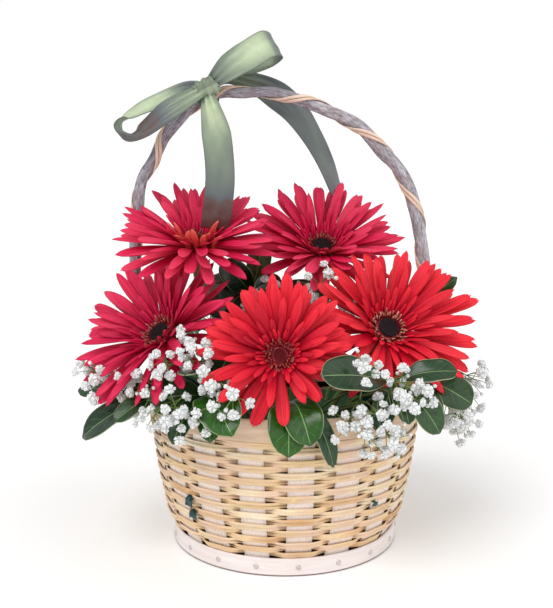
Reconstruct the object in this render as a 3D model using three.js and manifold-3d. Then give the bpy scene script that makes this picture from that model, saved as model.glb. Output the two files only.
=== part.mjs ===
// Flower basket: a round split-wood basket with a branch handle and a bow, filled with gerberas,
// leafy sprigs and gypsophila. Millimetres, +Z up, the front faces -Y, origin under the middle of the base.
import * as THREE from 'three';
import { mergeVertices } from 'three/addons/utils/BufferGeometryUtils.js';
import Module from 'manifold-3d';

const wasm = await Module();
wasm.setup();

// Driving dimensions of the basket
const STAKES = 14;
const STAKE_TURN = (2 * Math.PI) / STAKES;
const FIRST_STAKE = THREE.MathUtils.degToRad(8.6);
const STAKE_HALF_WIDTH = 11;
const SPLINT = 1.2;
const WEAVE_OFFSET = SPLINT + 0.3;
const WEAVE_HALF_FLAT = STAKE_HALF_WIDTH + 1.2;
const WALL = [[1, 78.6], [12.9, 78.7], [23.65, 84.6], [55.6, 91.2], [98.2, 97.0], [112.5, 97.2]];
const ROWS = 8;
const WEAVE_BOTTOM = 13;
const WEAVE_TOP = 98.2;
const ROW_GAP = 0.3;
const BAND = { inner: 80.5, outer: 82.5, bottom: 0, top: 12.5 };
const BOARD = { radius: 77.6, thickness: 6 };
const RIM = { inner: 99, outer: 101.2, bottom: 98.6, top: 114 };
const INNER_HOOP = { inner: 94.4, outer: 97.6, bottom: 99, top: 112 };
const HOOP_SIDES = 36;
const NAIL = { radius: 1.9, crown: 1.5, proud: 0.8, sunk: 1, height: 6.2, sides: 4 };
const LINER = { bottom: 6.35, top: 108, floorRadius: 73, mouthRadius: 93, thickness: 0.8, gap: 0.9 };
// Dents in the liner beside the handle's legs: half angles of the dent's floor and of its mouth
const DENT = { floor: 0.1, mouth: 0.13, depth: 2 };
const FOAM = { halfWidth: 60, halfDepth: 58, corner: 24, bottom: 7.5, top: 94 };

// Driving dimensions of the handle and its cane strip
const BRANCH_RADIUS = 4.75;
const BRANCH_STEPS = 40;
const BRANCH_SIDES = 7;
const STUB = { tipRadius: 1.2, rootRadius: 2.4, length: 9, turn: 1.05, place: [88.5, -1, 254], sides: 5 };
const LEG = { rimX: 88.4, rimZ: 113, hoopZ: 98, footX: 76.2, footZ: 22 };
const HANDLE_ARCH = [
  [-93.5, 129], [-104, 158], [-108, 190], [-108, 214], [-106.1, 235], [-101.9, 262.5], [-93, 277],
  [-85.7, 291.7], [-76.3, 302.8], [-65.6, 313.9], [-45, 322.9], [-29.6, 322.9], [-11.3, 323.6],
  [4.2, 320], [26.8, 311.8], [52.3, 300], [67.5, 284], [80.5, 270.6], [87.9, 258], [95.7, 230.7],
  [100.7, 200.4], [103, 172], [99.5, 148], [92, 127],
];
const CANE = { inner: 5.5, outer: 6.4, halfWidth: 3.2, pitch: 57, start: 128, end: 128, perTurn: 8 };

// Colours
const WOOD = look(0xe3c9ae, 0.7);
const PALE_WOOD = look(0xe8d6c8, 0.75);
const STRIP_WOOD = look(0xd9b680, 0.65);
const BARK = look(0x7d7470, 0.9);
const CANE_SKIN = look(0xdcb98d, 0.6);
const SATIN = look(0x7d8f6c, 0.35);
const FILM = look(0x14463a, 0.4);
const FOAM_GREEN = look(0x2f6b3c, 0.95);
const SCARLET = look(0xd81f22, 0.55);
const CRIMSON = look(0xb01530, 0.55);
const EYE_BLACK = look(0x1b0d12, 0.8);
const STEM_GREEN = look(0x5f8a3e, 0.6);
const LEAF_GREEN = look(0x1f5a2a, 0.35);
const FLORET_WHITE = look(0xf4f4f2, 0.7);

// Ribbon: wrap round the handle, knot on its front and the strips that leave the knot
const RIBBON = {
  thickness: 0.8,
  seat: [-54, 0, 319],
  wrap: { inner: 7.7, outer: 8.9, bottom: -5, top: 5 },
  wrapSides: 12,
  knot: [-54, -11.5, 326],
  knotSize: [7.5, 4.6, 7],
};
const RIBBON_STRIPS = [
  {
    steps: 7,
    stations: [
      [[-54, -12, 323], [8, -2, 2]], [[-51, -17, 311], [14, -2, 3]], [[-47, -19.5, 292], [20.5, -3, 1]],
      [[-45, -20.5, 265], [20.5, -2, 0]], [[-47, -20.5, 243], [20.5, 0, 0]], [[-49, -19, 232], [20.5, 1, 0]],
    ],
  },
  {
    steps: 13,
    stations: [
      [[-55, -10, 327], [1, 5, 6]], [[-72, 0, 327], [1, 14, 9]], [[-90, 3, 319], [1, 17, 8]],
      [[-108, 0, 311], [1, 18, 7]], [[-118.5, -4, 302], [1, 19, 5]], [[-119.5, -8, 293.5], [-1, 20, 3]],
      [[-112, -11.5, 290], [-4, 18, 6]], [[-99, -15, 295.5], [-8, 14, 11]],
      [[-81, -18, 311], [-10, 9, 14]], [[-57, -13, 324], [-5, 4, 8]],
    ],
  },
  {
    steps: 11,
    stations: [
      [[-53, -11, 327], [-4, 3, 7]], [[-38, -16, 341], [-10, 4, 15]], [[-24, -17, 350], [-11, 4, 17.5]],
      [[-10, -14, 355], [-10, 5, 17.5]], [[-3, -6, 354], [-9, 8, 16.5]], [[-8, 1, 350], [-8, 10, 16]],
      [[-22, 4, 344], [-5, 9, 13]], [[-38, 1, 339], [-3, 7, 9]], [[-53, -9, 328], [0, 4, 7]],
    ],
  },
  {
    steps: 11,
    stations: [
      [[-54, -8.5, 329], [0, 4, 7]], [[-40, 6, 334], [0, 3, 10]], [[-22, 11, 330], [1, 2, 15]],
      [[-6, 13, 322], [9, 1, 18]], [[8, 17, 310], [14, 2, 15]], [[20, 25, 293], [17, 3, 11]],
      [[31, 37, 273], [18, 3, 9]], [[39, 50, 254], [18.5, 3, 9]], [[43, 60, 240], [18.5, 2, 9]],
    ],
  },
];

// Gerberas: eye's place, direction that the face looks in, length, cupping and sag of the ray florets
const BLOOMS = [
  {
    name: 'front', color: SCARLET, seed: 11, eye: [-4, -95, 155.5], normal: [0, -0.93, 0.36],
    reach: 0.95, cup: -2, sag: -4, foot: [-2, -26, v(0, -0.3, 1)],
  },
  {
    name: 'right', color: SCARLET, seed: 23, eye: [72, -35, 162], normal: [0.29, -0.73, 0.62],
    reach: 1.02, cup: 0, sag: 6, foot: [34, -10, v(0.3, 0, 1)],
  },
  {
    name: 'middle_left', color: CRIMSON, seed: 37, eye: [-87, -42, 160], normal: [-0.585, -0.47, 0.66],
    reach: 1, cup: 6, sag: 4, foot: [-36, -12, v(-0.3, -0.1, 1)],
  },
  {
    name: 'back_left', color: CRIMSON, seed: 41, eye: [-63, -15, 221], normal: [0, -0.45, 0.89],
    reach: 1.05, cup: 4, sag: 8, foot: [-22, 8, v(-0.25, 0, 1)],
  },
  {
    name: 'back_right', color: CRIMSON, seed: 59, eye: [28, 20, 214], normal: [0.05, -0.57, 0.82],
    reach: 1.04, cup: 8, sag: 0, foot: [12, 16, v(0.1, 0.05, 1)],
  },
];
// Profiles about a head's axis as [radius, height above the middle of the eye's foot]
const HUB = [[0, -6.2], [9.6, -6.2], [11, -1.1], [0, -1.1]];
const EYE = [[0, -0.75], [7, -0.75], [7.5, 0.7], [0, 2.6]];
const CALYX = [[0, -16], [3.6, -16], [8.8, -6.5], [0, -6.5]];
const HUB_SIDES = 12;
const CALYX_SIDES = 9;
const NECK = 34;
const STEM_END = 10;
// Layers of ray florets from the rim of the head inward; slopes in degrees above the head's plane
const LAYERS = [
  { count: 16, shift: 0, root: 3, height: -5.6, reach: 51, width: 8, rise: 10, fall: -8 },
  { count: 12, shift: 0.5, root: 4, height: -5.4, reach: 45, width: 7.8, rise: 22, fall: 6 },
  { count: 7, shift: 0.25, root: 6.2, height: -5.4, reach: 33, width: 6.4, rise: 46, fall: 22 },
  { count: 9, shift: 0, root: 7.3, height: -5.4, reach: 16, width: 3.8, rise: 74, fall: 46 },
];
// Share of the length and of the width at each cross-section of a floret and of a leaf
const FLORET_STATIONS = [[0, 0], [0.42, 0.86], [0.8, 1], [1, 0]];
const LEAF_STATIONS = [[0, 0.09], [0.3, 0.55], [0.65, 1], [0.9, 0.66], [1, 0]];
const SHORT_FLORET_STATIONS = [[0, 0], [0.65, 1], [1, 0]];
const SHORT_FLORET = 34;
const FLORET_KEEL = 1.4;
const LEAF_THICKNESS = 1.2;
const LEAF_FOLD = 0.16;
const STEM_RADIUS = 2.6;
const TWIG_RADIUS = 1.5;
const SPRAY_RADIUS = 1.1;
const TWIGLET_RADIUS = 0.75;
// Depth of a stem's foot below the foam's top and height of its straight part above it
const STEM_DEPTH = 32;
const STEM_RISE = 8;
const STEM_HOLE = { clearance: 0.35, widening: 1.25, deeper: 1.2, sides: 5 };
// Gypsophila: half width and closing length of a double floret, and the way a branch wanders on
const FLORET_RADIUS = 4.8;
const FLORET_CLOSING = 3.84;
const FLORETS_A_BRANCH = 3;
const FLORET_STEP = 10.5;
const WANDER = { strays: 24, strayStep: 1.6, attempts: 40, swerve: 2.2, straightness: 0.35 };
// Gap kept between neighbours, gap to sister blades, and the least edge left after a join
const CLEARANCE = 0.35;
const SISTER_GAP = 0.1;
const SMOOTHING = 0.07;

// Leafy sprigs: foot on the foam, crown where the leaves stand, and each leaf's tip, width and face
const SPRIGS = [
  {
    name: 'leaf_sprig_front_left', foot: [-32, -36, v(-0.25, -0.4, 1)], top: [-50, -68, 121],
    leaves: [
      { tip: [-85, -84, 151], width: 24, face: [0.3, -0.8, 0.6] },
      { tip: [-70, -90, 152], width: 18, face: [0, 0.2, 1] },
      { tip: [-77, -96, 103], width: 13, face: [-0.2, -0.5, 0.8], arch: 9 },
      { tip: [-48, -106, 101], width: 15, face: [0, -0.6, 0.8], arch: 9 },
      { tip: [-34, -62, 158], width: 18, face: [0, -1, 0.2] },
    ],
  },
  {
    name: 'leaf_sprig_left', foot: [-48, -20, v(-0.4, -0.1, 1)], top: [-72, -50, 119],
    leaves: [
      { tip: [-141, -47, 86], width: 21, face: [-0.2, -0.6, 0.8], arch: 10 },
      { tip: [-146, -32, 116], width: 16, face: [0, -0.7, 0.7] },
      { tip: [-112, -84, 108], width: 15, face: [0, -0.5, 0.9], arch: 8 },
    ],
  },
  {
    name: 'leaf_sprig_front', foot: [0, -44, v(0, -0.3, 1)], top: [2, -74, 119],
    leaves: [
      { tip: [-34, -108, 92], width: 21, face: [-0.1, -0.8, 0.6], arch: 19 },
      { tip: [-11, -112, 96], width: 22, face: [0, -0.8, 0.6], arch: 17 },
      { tip: [21, -109, 99], width: 20, face: [0.1, -0.8, 0.6], arch: 17 },
      { tip: [39, -104, 88], width: 14, face: [0.3, -0.8, 0.5], arch: 20 },
    ],
  },
  {
    name: 'leaf_sprig_right', foot: [36, -34, v(0.3, -0.4, 1)], top: [70, -74, 132], bend: [54, -54, 112],
    leaves: [
      { tip: [16, -100, 145], width: 23, face: [0, -0.75, 0.65], arch: 5 },
      { tip: [112, -80, 141], width: 17, face: [0, -0.6, 0.8], arch: 5 },
      { tip: [78, -103, 112], width: 13, face: [0.2, -0.9, 0.3] },
      { tip: [100, -90, 102], width: 19, face: [0.3, -0.8, 0.5], arch: 8 },
      { tip: [58, -100, 106], width: 14, face: [0, -0.9, 0.4], arch: 6 },
    ],
  },
  {
    name: 'leaf_sprig_far_right', foot: [46, -8, v(0.4, 0, 1)], top: [92, -36, 128], bend: [66, -22, 112],
    leaves: [
      { tip: [131, -50, 138], width: 22, face: [0, -0.8, 0.6], arch: 4 },
      { tip: [128, -12, 108], width: 14, face: [0.1, -0.7, 0.7], arch: 6 },
      { tip: [112, -62, 100], width: 14, face: [0.3, -0.6, 0.7], arch: 8 },
    ],
  },
  {
    name: 'leaf_sprig_back_middle', foot: [-6, 30, v(0, 0, 1)], top: [-24, 24, 176],
    leaves: [
      { tip: [-46, 0, 204], width: 18, face: [0, -1, 0.3] },
      { tip: [-62, 30, 182], width: 16, face: [0, -0.7, 0.7] },
      { tip: [-17, 44, 210], width: 16, face: [0, -1, 0.2] },
      { tip: [-2, 6, 188], width: 14, face: [0, -0.8, 0.6] },
      { tip: [-34, 62, 190], width: 17, face: [0, 0.5, 0.9] },
    ],
  },
  {
    name: 'leaf_sprig_back_right', foot: [32, 26, v(0.3, 0.3, 1)], top: [78, 40, 146], bend: [56, 34, 118],
    leaves: [
      { tip: [128, 16, 190], width: 12, face: [-0.2, -0.9, 0.1] },
      { tip: [122, 62, 132], width: 18, face: [0.2, 0.4, 0.9] },
      { tip: [88, 92, 140], width: 20, face: [0, 0.4, 0.9] },
      { tip: [50, 84, 168], width: 17, face: [0, 0.7, 0.7] },
      { tip: [108, 66, 104], width: 17, face: [0.5, 0.5, 0.7], arch: 10 },
    ],
  },
  {
    name: 'leaf_sprig_back', foot: [0, 46, v(0, 0.4, 1)], top: [2, 72, 126],
    leaves: [
      { tip: [-4, 122, 108], width: 22, face: [0, 0.5, 0.9], arch: 11 },
      { tip: [38, 110, 112], width: 20, face: [0.2, 0.5, 0.9], arch: 11 },
      { tip: [-42, 108, 116], width: 19, face: [-0.2, 0.5, 0.9], arch: 10 },
      { tip: [16, 96, 160], width: 18, face: [0, 0.8, 0.6] },
    ],
  },
  {
    name: 'leaf_sprig_back_left', foot: [-34, 30, v(-0.3, 0.3, 1)], top: [-68, 48, 140], bend: [-54, 38, 118],
    leaves: [
      { tip: [-112, 70, 128], width: 20, face: [-0.2, 0.4, 0.9] },
      { tip: [-120, 34, 146], width: 17, face: [-0.1, -0.2, 1] },
      { tip: [-78, 98, 132], width: 19, face: [0, 0.4, 0.9] },
      { tip: [-60, 84, 172], width: 17, face: [0, 0.8, 0.6] },
      { tip: [-98, 72, 100], width: 16, face: [-0.5, 0.5, 0.7], arch: 10 },
    ],
  },
];

// Gypsophila sprays: foot on the foam, fork, and the first floret of each branch
const SPRAYS = [
  {
    name: 'gypsophila_left', foot: [-50, -4, v(-0.5, 0, 1)], fork: [-100, -30, 124], seed: 3,
    tips: [[-130, -52, 134], [-124, -50, 122], [-112, -56, 134], [-136, -22, 130], [-120, -30, 116]],
  },
  {
    name: 'gypsophila_front_left', foot: [-42, -40, v(-0.3, -0.4, 1)], fork: [-72, -78, 120], seed: 5,
    tips: [[-90, -80, 128], [-66, -100, 110], [-84, -94, 116], [-98, -70, 122], [-70, -102, 122]],
  },
  {
    name: 'gypsophila_front_middle', foot: [-18, -44, v(-0.1, -0.3, 1)], fork: [-36, -84, 126], seed: 7,
    tips: [[-44, -106, 140], [-34, -110, 130], [-48, -106, 122]],
  },
  {
    name: 'gypsophila_over_left', foot: [-26, -20, v(-0.2, -0.2, 1)], fork: [-52, -56, 140], seed: 9,
    tips: [[-66, -78, 160], [-60, -90, 150], [-78, -84, 146]],
  },
  {
    name: 'gypsophila_right', foot: [22, -44, v(0.2, -0.4, 1)], fork: [48, -84, 122], seed: 13,
    tips: [[40, -104, 110], [58, -106, 118], [52, -108, 104], [50, -112, 150], [68, -104, 100]],
  },
  {
    name: 'gypsophila_right_upper', foot: [24, -28, v(0.2, -0.2, 1)], fork: [52, -66, 128], seed: 17,
    tips: [[80, -98, 136], [74, -106, 128], [84, -92, 126]],
  },
  {
    name: 'gypsophila_far_right', foot: [48, 16, v(0.5, 0.2, 1)], fork: [110, 14, 124], seed: 19,
    tips: [[134, -16, 108], [126, -30, 94], [120, -40, 100], [138, -8, 118], [126, -20, 84]],
  },
  {
    name: 'gypsophila_middle', foot: [4, 0, v(0, 0, 1)], fork: [8, 4, 150], seed: 29,
    tips: [[-6, 0, 172], [14, -14, 184], [44, -4, 186], [-16, -8, 182]],
  },
  {
    name: 'gypsophila_back_right', foot: [14, 44, v(0.2, 0.4, 1)], fork: [52, 82, 132], seed: 31,
    tips: [[72, 102, 138], [46, 108, 128], [60, 96, 158]],
  },
  {
    name: 'gypsophila_back_left', foot: [-20, 44, v(-0.2, 0.4, 1)], fork: [-48, 80, 130], seed: 43,
    tips: [[-62, 100, 144], [-34, 106, 134], [-90, 84, 142]],
  },
];

const basket = new THREE.Group();

function look(color, roughness, metalness = 0) {
  return new THREE.MeshStandardMaterial({ color, roughness, metalness });
}

function v(x, y, z) {
  return new THREE.Vector3(x, y, z);
}

function addPiece(name, material, geometry) {
  const mesh = new THREE.Mesh(geometry, material);
  mesh.name = name;
  basket.add(mesh);
}

// Repeatable draws between 0 and 1
function drawer(seed) {
  let state = seed >>> 0;
  return () => {
    state = (state + 0x6d2b79f5) >>> 0;
    let t = Math.imul(state ^ (state >>> 15), 1 | state);
    t = (t + Math.imul(t ^ (t >>> 7), 61 | t)) ^ t;
    return ((t ^ (t >>> 14)) >>> 0) / 4294967296;
  };
}

// Closed mesh with shared corners, ready to join and cut
function toSolid(geometry) {
  const bare = geometry.clone();
  bare.deleteAttribute('normal');
  bare.deleteAttribute('uv');
  const merged = mergeVertices(bare, 1e-4);
  const corners = merged.index.array;
  const kept = [];
  for (let i = 0; i < corners.length; i += 3) {
    const [a, b, c] = [corners[i], corners[i + 1], corners[i + 2]];
    if (a !== b && b !== c && c !== a) kept.push(a, b, c);
  }
  return new wasm.Manifold(new wasm.Mesh({
    numProp: 3,
    vertProperties: new Float32Array(merged.attributes.position.array),
    triVerts: new Uint32Array(kept),
  }));
}

function toGeometry(solid) {
  const mesh = solid.getMesh();
  const geometry = new THREE.BufferGeometry();
  geometry.setAttribute('position', new THREE.BufferAttribute(new Float32Array(mesh.vertProperties), 3));
  geometry.setIndex([...mesh.triVerts]);
  geometry.computeVertexNormals();
  return geometry;
}

// One body from overlapping solids: sealed hollows are filled and loose scraps dropped
function fuse(solids) {
  const shells = wasm.Manifold.union(solids).decompose();
  const [largest] = shells.sort((one, other) => other.volume() - one.volume());
  return largest.simplify(SMOOTHING);
}

// Body through a row of cross-sections with equal corner counts. A one-point section is a tip. Four-sided
// faces on the back of a thin wall are split along the same diagonal as its front, so the two never cross.
function loft(sections, { closed = false, onBack = () => false } = {}) {
  const points = sections.flat();
  const starts = [];
  let count = 0;
  for (const section of sections) {
    starts.push(count);
    count += section.length;
  }
  const faces = [];
  const spans = closed ? sections.length : sections.length - 1;
  for (let s = 0; s < spans; s += 1) {
    const next = (s + 1) % sections.length;
    const sides = Math.max(sections[s].length, sections[next].length);
    for (let i = 0; i < sides; i += 1) {
      const j = (i + 1) % sides;
      if (sections[next].length === 1) {
        faces.push(starts[s] + i, starts[s] + j, starts[next]);
      } else if (sections[s].length === 1) {
        faces.push(starts[s], starts[next] + j, starts[next] + i);
      } else if (onBack(s, i)) {
        faces.push(starts[s] + i, starts[s] + j, starts[next] + i);
        faces.push(starts[s] + j, starts[next] + j, starts[next] + i);
      } else {
        faces.push(starts[s] + i, starts[s] + j, starts[next] + j);
        faces.push(starts[s] + i, starts[next] + j, starts[next] + i);
      }
    }
  }
  if (!closed) {
    capSection(faces, starts[0], sections[0].length, true);
    capSection(faces, starts[sections.length - 1], sections[sections.length - 1].length, false);
  }
  return bodyOf(points, faces);
}

// True on the back of a flat strip, whose sections list the two corners of its front first
function onStripBack(span, side) {
  return side > 1;
}

function capSection(faces, start, sides, first) {
  for (let i = 1; i < sides - 1; i += 1) {
    if (first) faces.push(start, start + i + 1, start + i);
    else faces.push(start, start + i, start + i + 1);
  }
}

// Indexed geometry whose faces all point outward
function bodyOf(points, faces) {
  let volume = 0;
  for (let i = 0; i < faces.length; i += 3) {
    const [a, b, c] = [points[faces[i]], points[faces[i + 1]], points[faces[i + 2]]];
    volume += a.dot(b.clone().cross(c));
  }
  const index = [...faces];
  if (volume < 0) index.reverse();
  const geometry = new THREE.BufferGeometry();
  geometry.setAttribute('position', new THREE.Float32BufferAttribute(points.flatMap((p) => p.toArray()), 3));
  geometry.setIndex(index);
  geometry.computeVertexNormals();
  return geometry;
}

// Body of revolution about Z from a closed or axis-to-axis profile of [radius, z]
function turned(profile, sides) {
  const points = profile.map(([radius, z]) => new THREE.Vector2(radius, z));
  return new THREE.LatheGeometry(points, sides).rotateX(Math.PI / 2);
}

function hoop({ inner, outer, bottom, top }, sides) {
  return turned([[inner, bottom], [outer, bottom], [outer, top], [inner, top], [inner, bottom]], sides);
}

function tube(curve, radius, steps, sides) {
  const outline = new THREE.Shape();
  for (let i = 0; i < sides; i += 1) {
    const turn = (2 * Math.PI * i) / sides;
    const [x, y] = [radius * Math.cos(turn), radius * Math.sin(turn)];
    if (i === 0) outline.moveTo(x, y);
    else outline.lineTo(x, y);
  }
  outline.closePath();
  return new THREE.ExtrudeGeometry(outline, { steps, extrudePath: curve, bevelEnabled: false });
}

// What already stands in place, so that later pieces can be bent clear of it
const placed = [];

function place(name, material, solid) {
  addPiece(name, material, toGeometry(solid));
  keepClearOf(solid, name);
}

function keepClearOf(solid, owner) {
  placed.push({ solid, box: solid.boundingBox(), owner });
}

// True where a blade of the owner's clears everything else
function isClear(solid, owner) {
  const { min, max } = solid.boundingBox();
  for (const other of placed.filter((entry) => entry.owner !== owner)) {
    const apart = [0, 1, 2].some((k) => (
      min[k] - other.box.max[k] > CLEARANCE || other.box.min[k] - max[k] > CLEARANCE
    ));
    if (!apart && other.solid.minGap(solid, 2 * CLEARANCE) < CLEARANCE) return false;
  }
  return true;
}

// Tilts in degrees, small ones first, that a blade tries until it is clear
const TILTS = [[0, 0]];
for (let step = 4; step <= 32; step += 4) {
  TILTS.push([step, 0], [-step, 0], [0, step], [0, -step]);
  TILTS.push([step, step], [-step, step], [step, -step], [-step, -step]);
}

// First of the tilted blades that is clear of everything and of its sisters outside the hub that they
// share. One that only crosses a sister comes next, and blades that stay blocked are tried shorter.
function bentClear(owner, makeBlade, hub, sisters) {
  for (const size of [1, 0.85, 0.7]) {
    let crossing = null;
    for (const [lift, sway] of TILTS) {
      const solid = toSolid(makeBlade(lift, sway, size));
      if (isClear(solid, owner)) {
        const outside = solid.subtract(hub);
        if (sisters.every((sister) => sister.minGap(outside, 2 * SISTER_GAP) > SISTER_GAP)) {
          sisters.push(outside);
          return solid;
        }
        crossing = crossing || { solid, outside };
      }
    }
    if (crossing) {
      sisters.push(crossing.outside);
      return crossing.solid;
    }
  }
  return null;
}

// Distance of the stakes' middle from the axis at height z
function wallAt(z) {
  for (let i = 1; i < WALL.length; i += 1) {
    const [[z0, r0], [z1, r1]] = [WALL[i - 1], WALL[i]];
    if (z <= z1) return r0 + ((r1 - r0) * (z - z0)) / (z1 - z0);
  }
  return WALL[WALL.length - 1][1];
}

// Point at a distance out from the axis along a stake's middle line and a distance sideways
function onStake(k, out, side, z) {
  const turn = FIRST_STAKE + k * STAKE_TURN;
  return v(out * Math.sin(turn) + side * Math.cos(turn), -out * Math.cos(turn) + side * Math.sin(turn), z);
}

function stake(k) {
  const sections = WALL.map(([z, radius]) => [
    onStake(k, radius - SPLINT / 2, -STAKE_HALF_WIDTH, z),
    onStake(k, radius + SPLINT / 2, -STAKE_HALF_WIDTH, z),
    onStake(k, radius + SPLINT / 2, STAKE_HALF_WIDTH, z),
    onStake(k, radius - SPLINT / 2, STAKE_HALF_WIDTH, z),
  ]);
  return toSolid(loft(sections));
}

// Stakes pinned to the inner rim hoop
function stakeCage() {
  const parts = [toSolid(hoop(INNER_HOOP, 2 * STAKES))];
  for (let k = 0; k < STAKES; k += 1) parts.push(stake(k));
  return fuse(parts);
}

// One flat strip that runs outside every second stake and inside the others
function weaverRow(row) {
  const pitch = (WEAVE_TOP - WEAVE_BOTTOM) / ROWS;
  const bottom = WEAVE_BOTTOM + row * pitch;
  const top = bottom + pitch - ROW_GAP;
  const sections = [];
  for (let k = 0; k < STAKES; k += 1) {
    const offset = (row + k) % 2 === 0 ? WEAVE_OFFSET : -WEAVE_OFFSET;
    for (const side of [-WEAVE_HALF_FLAT, WEAVE_HALF_FLAT]) {
      sections.push([
        onStake(k, wallAt(bottom) + offset + SPLINT / 2, side, bottom),
        onStake(k, wallAt(top) + offset + SPLINT / 2, side, top),
        onStake(k, wallAt(top) + offset - SPLINT / 2, side, top),
        onStake(k, wallAt(bottom) + offset - SPLINT / 2, side, bottom),
      ]);
    }
  }
  return toSolid(loft(sections, { closed: true, onBack: onStripBack }));
}

// Foot hoop with a nail head in front of each stake
function baseBand() {
  const parts = [toSolid(hoop(BAND, HOOP_SIDES))];
  for (let k = 0; k < STAKES; k += 1) {
    const nail = new THREE.CylinderGeometry(NAIL.crown, NAIL.radius, NAIL.proud + NAIL.sunk, NAIL.sides);
    nail.translate(0, (NAIL.proud - NAIL.sunk) / 2, 0);
    nail.rotateX(Math.PI / 2);
    nail.translate(0, -BAND.outer, NAIL.height);
    nail.rotateZ(FIRST_STAKE + k * STAKE_TURN);
    parts.push(toSolid(nail));
  }
  return fuse(parts);
}

function baseBoard() {
  const { radius, thickness } = BOARD;
  return toSolid(turned([[0, 0], [radius, 0], [radius, thickness], [0, thickness]], HOOP_SIDES));
}

// Middle line of the handle from the left foot over the arch to the right foot
function handleCurve() {
  const leg = [[LEG.footX, LEG.footZ], [LEG.rimX, LEG.hoopZ], [LEG.rimX, LEG.rimZ]];
  const points = leg.map(([x, z]) => v(-x, 0, z));
  points.push(...HANDLE_ARCH.map(([x, z]) => v(x, 0, z)));
  points.push(...leg.reverse().map(([x, z]) => v(x, 0, z)));
  return new THREE.CatmullRomCurve3(points, false, 'centripetal');
}

const HANDLE = handleCurve();

function handleBranch() {
  const stub = new THREE.CylinderGeometry(STUB.tipRadius, STUB.rootRadius, STUB.length, STUB.sides);
  stub.rotateZ(STUB.turn);
  stub.translate(...STUB.place);
  return fuse([toSolid(tube(HANDLE, BRANCH_RADIUS, BRANCH_STEPS, BRANCH_SIDES)), toSolid(stub)]);
}

// Flat strip wound round the branch
function handleCane() {
  const length = HANDLE.getLength();
  const travel = length - CANE.start - CANE.end;
  const steps = Math.round((travel / CANE.pitch) * CANE.perTurn);
  const circle = 2 * Math.PI * CANE.inner;
  const slope = Math.hypot(CANE.pitch, circle);
  const sections = [];
  for (let i = 0; i <= steps; i += 1) {
    const at = CANE.start + (travel * i) / steps;
    const middle = HANDLE.getPointAt(at / length);
    const along = HANDLE.getTangentAt(at / length);
    const turn = (2 * Math.PI * at) / CANE.pitch;
    const depth = v(0, 1, 0);
    const rise = new THREE.Vector3().crossVectors(along, depth);
    const out = rise.clone().multiplyScalar(Math.cos(turn)).addScaledVector(depth, Math.sin(turn));
    const round = depth.clone().multiplyScalar(Math.cos(turn)).addScaledVector(rise, -Math.sin(turn));
    const across = round.multiplyScalar(CANE.pitch / slope).addScaledVector(along, -circle / slope);
    sections.push([[CANE.outer, 1], [CANE.outer, -1], [CANE.inner, -1], [CANE.inner, 1]].map(
      ([radius, side]) => middle.clone().addScaledVector(out, radius)
        .addScaledVector(across, side * CANE.halfWidth),
    ));
  }
  return toSolid(loft(sections, { onBack: onStripBack }));
}

// Thin cup that follows the weave inside and is pressed in where the handle's legs run down
function liner() {
  const angles = [];
  for (let k = 0; k < STAKES; k += 1) {
    const turn = FIRST_STAKE + k * STAKE_TURN;
    angles.push(turn - DENT.mouth, turn + DENT.mouth);
  }
  for (const side of [Math.PI / 2, (3 * Math.PI) / 2]) {
    angles.push(side - DENT.mouth, side - DENT.floor, side + DENT.floor, side + 0.96 * DENT.mouth);
  }
  angles.sort((a, b) => a - b);
  const inside = WEAVE_OFFSET + SPLINT / 2 + LINER.gap;
  const leg = (z) => LEG.footX + ((LEG.rimX - LEG.footX) * (z - LEG.footZ)) / (LEG.hoopZ - LEG.footZ);
  const outline = (z, thinner) => angles.map((turn) => {
    const wall = z < WEAVE_BOTTOM ? LINER.floorRadius : Math.min(wallAt(z) - inside, LINER.mouthRadius);
    const dented = Math.abs(Math.cos(turn)) < Math.sin(DENT.floor) + 0.001;
    const reach = dented ? Math.min(wall, leg(z) - BRANCH_RADIUS - DENT.depth) : wall;
    return v((reach - thinner) * Math.sin(turn), -(reach - thinner) * Math.cos(turn), z);
  });
  const floor = LINER.bottom + LINER.thickness;
  const outer = [LINER.bottom, WALL[2][0], LINER.top].map((z) => outline(z, 0));
  const inner = [LINER.top, WALL[2][0], floor].map((z) => outline(z, LINER.thickness));
  const sections = [[v(0, 0, LINER.bottom)], ...outer, ...inner, [v(0, 0, floor)]];
  return toSolid(loft(sections, { onBack: (span) => span > outer.length }));
}

function foamBlock() {
  const { halfWidth, halfDepth, corner, bottom, top } = FOAM;
  const outline = new THREE.Shape();
  outline.moveTo(-halfWidth + corner, -halfDepth);
  outline.lineTo(halfWidth - corner, -halfDepth);
  outline.lineTo(halfWidth, -halfDepth + corner);
  outline.lineTo(halfWidth, halfDepth - corner);
  outline.lineTo(halfWidth - corner, halfDepth);
  outline.lineTo(-halfWidth + corner, halfDepth);
  outline.lineTo(-halfWidth, halfDepth - corner);
  outline.lineTo(-halfWidth, -halfDepth + corner);
  outline.closePath();
  const block = new THREE.ExtrudeGeometry(outline, { depth: top - bottom, bevelEnabled: false });
  return toSolid(block.translate(0, 0, bottom));
}

const stemHoles = [];

// Stem from its foot in the foam, through the foam's top, to what it carries
function plantedStem(points, radius, steps, sides) {
  const curve = new THREE.CatmullRomCurve3(points, false, 'centripetal');
  const below = points[0].clone().sub(points[1]).setLength(STEM_HOLE.deeper).add(points[0]);
  const holeRadius = (radius + STEM_HOLE.clearance) * STEM_HOLE.widening;
  stemHoles.push(toSolid(tube(new THREE.LineCurve3(below, points[3]), holeRadius, 1, STEM_HOLE.sides)));
  return toSolid(tube(curve, radius, steps, sides));
}

// Straight stretch of a stem from its foot in the foam to just above the foam's top
function footing(x, y, lean) {
  const above = v(x, y, 0).addScaledVector(lean, STEM_RISE).setZ(FOAM.top + STEM_RISE);
  const foot = v(x, y, 0).addScaledVector(lean, -STEM_DEPTH).setZ(FOAM.top - STEM_DEPTH);
  return [0, 0.4, 0.8, 1].map((share) => foot.clone().lerp(above, share));
}

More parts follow.
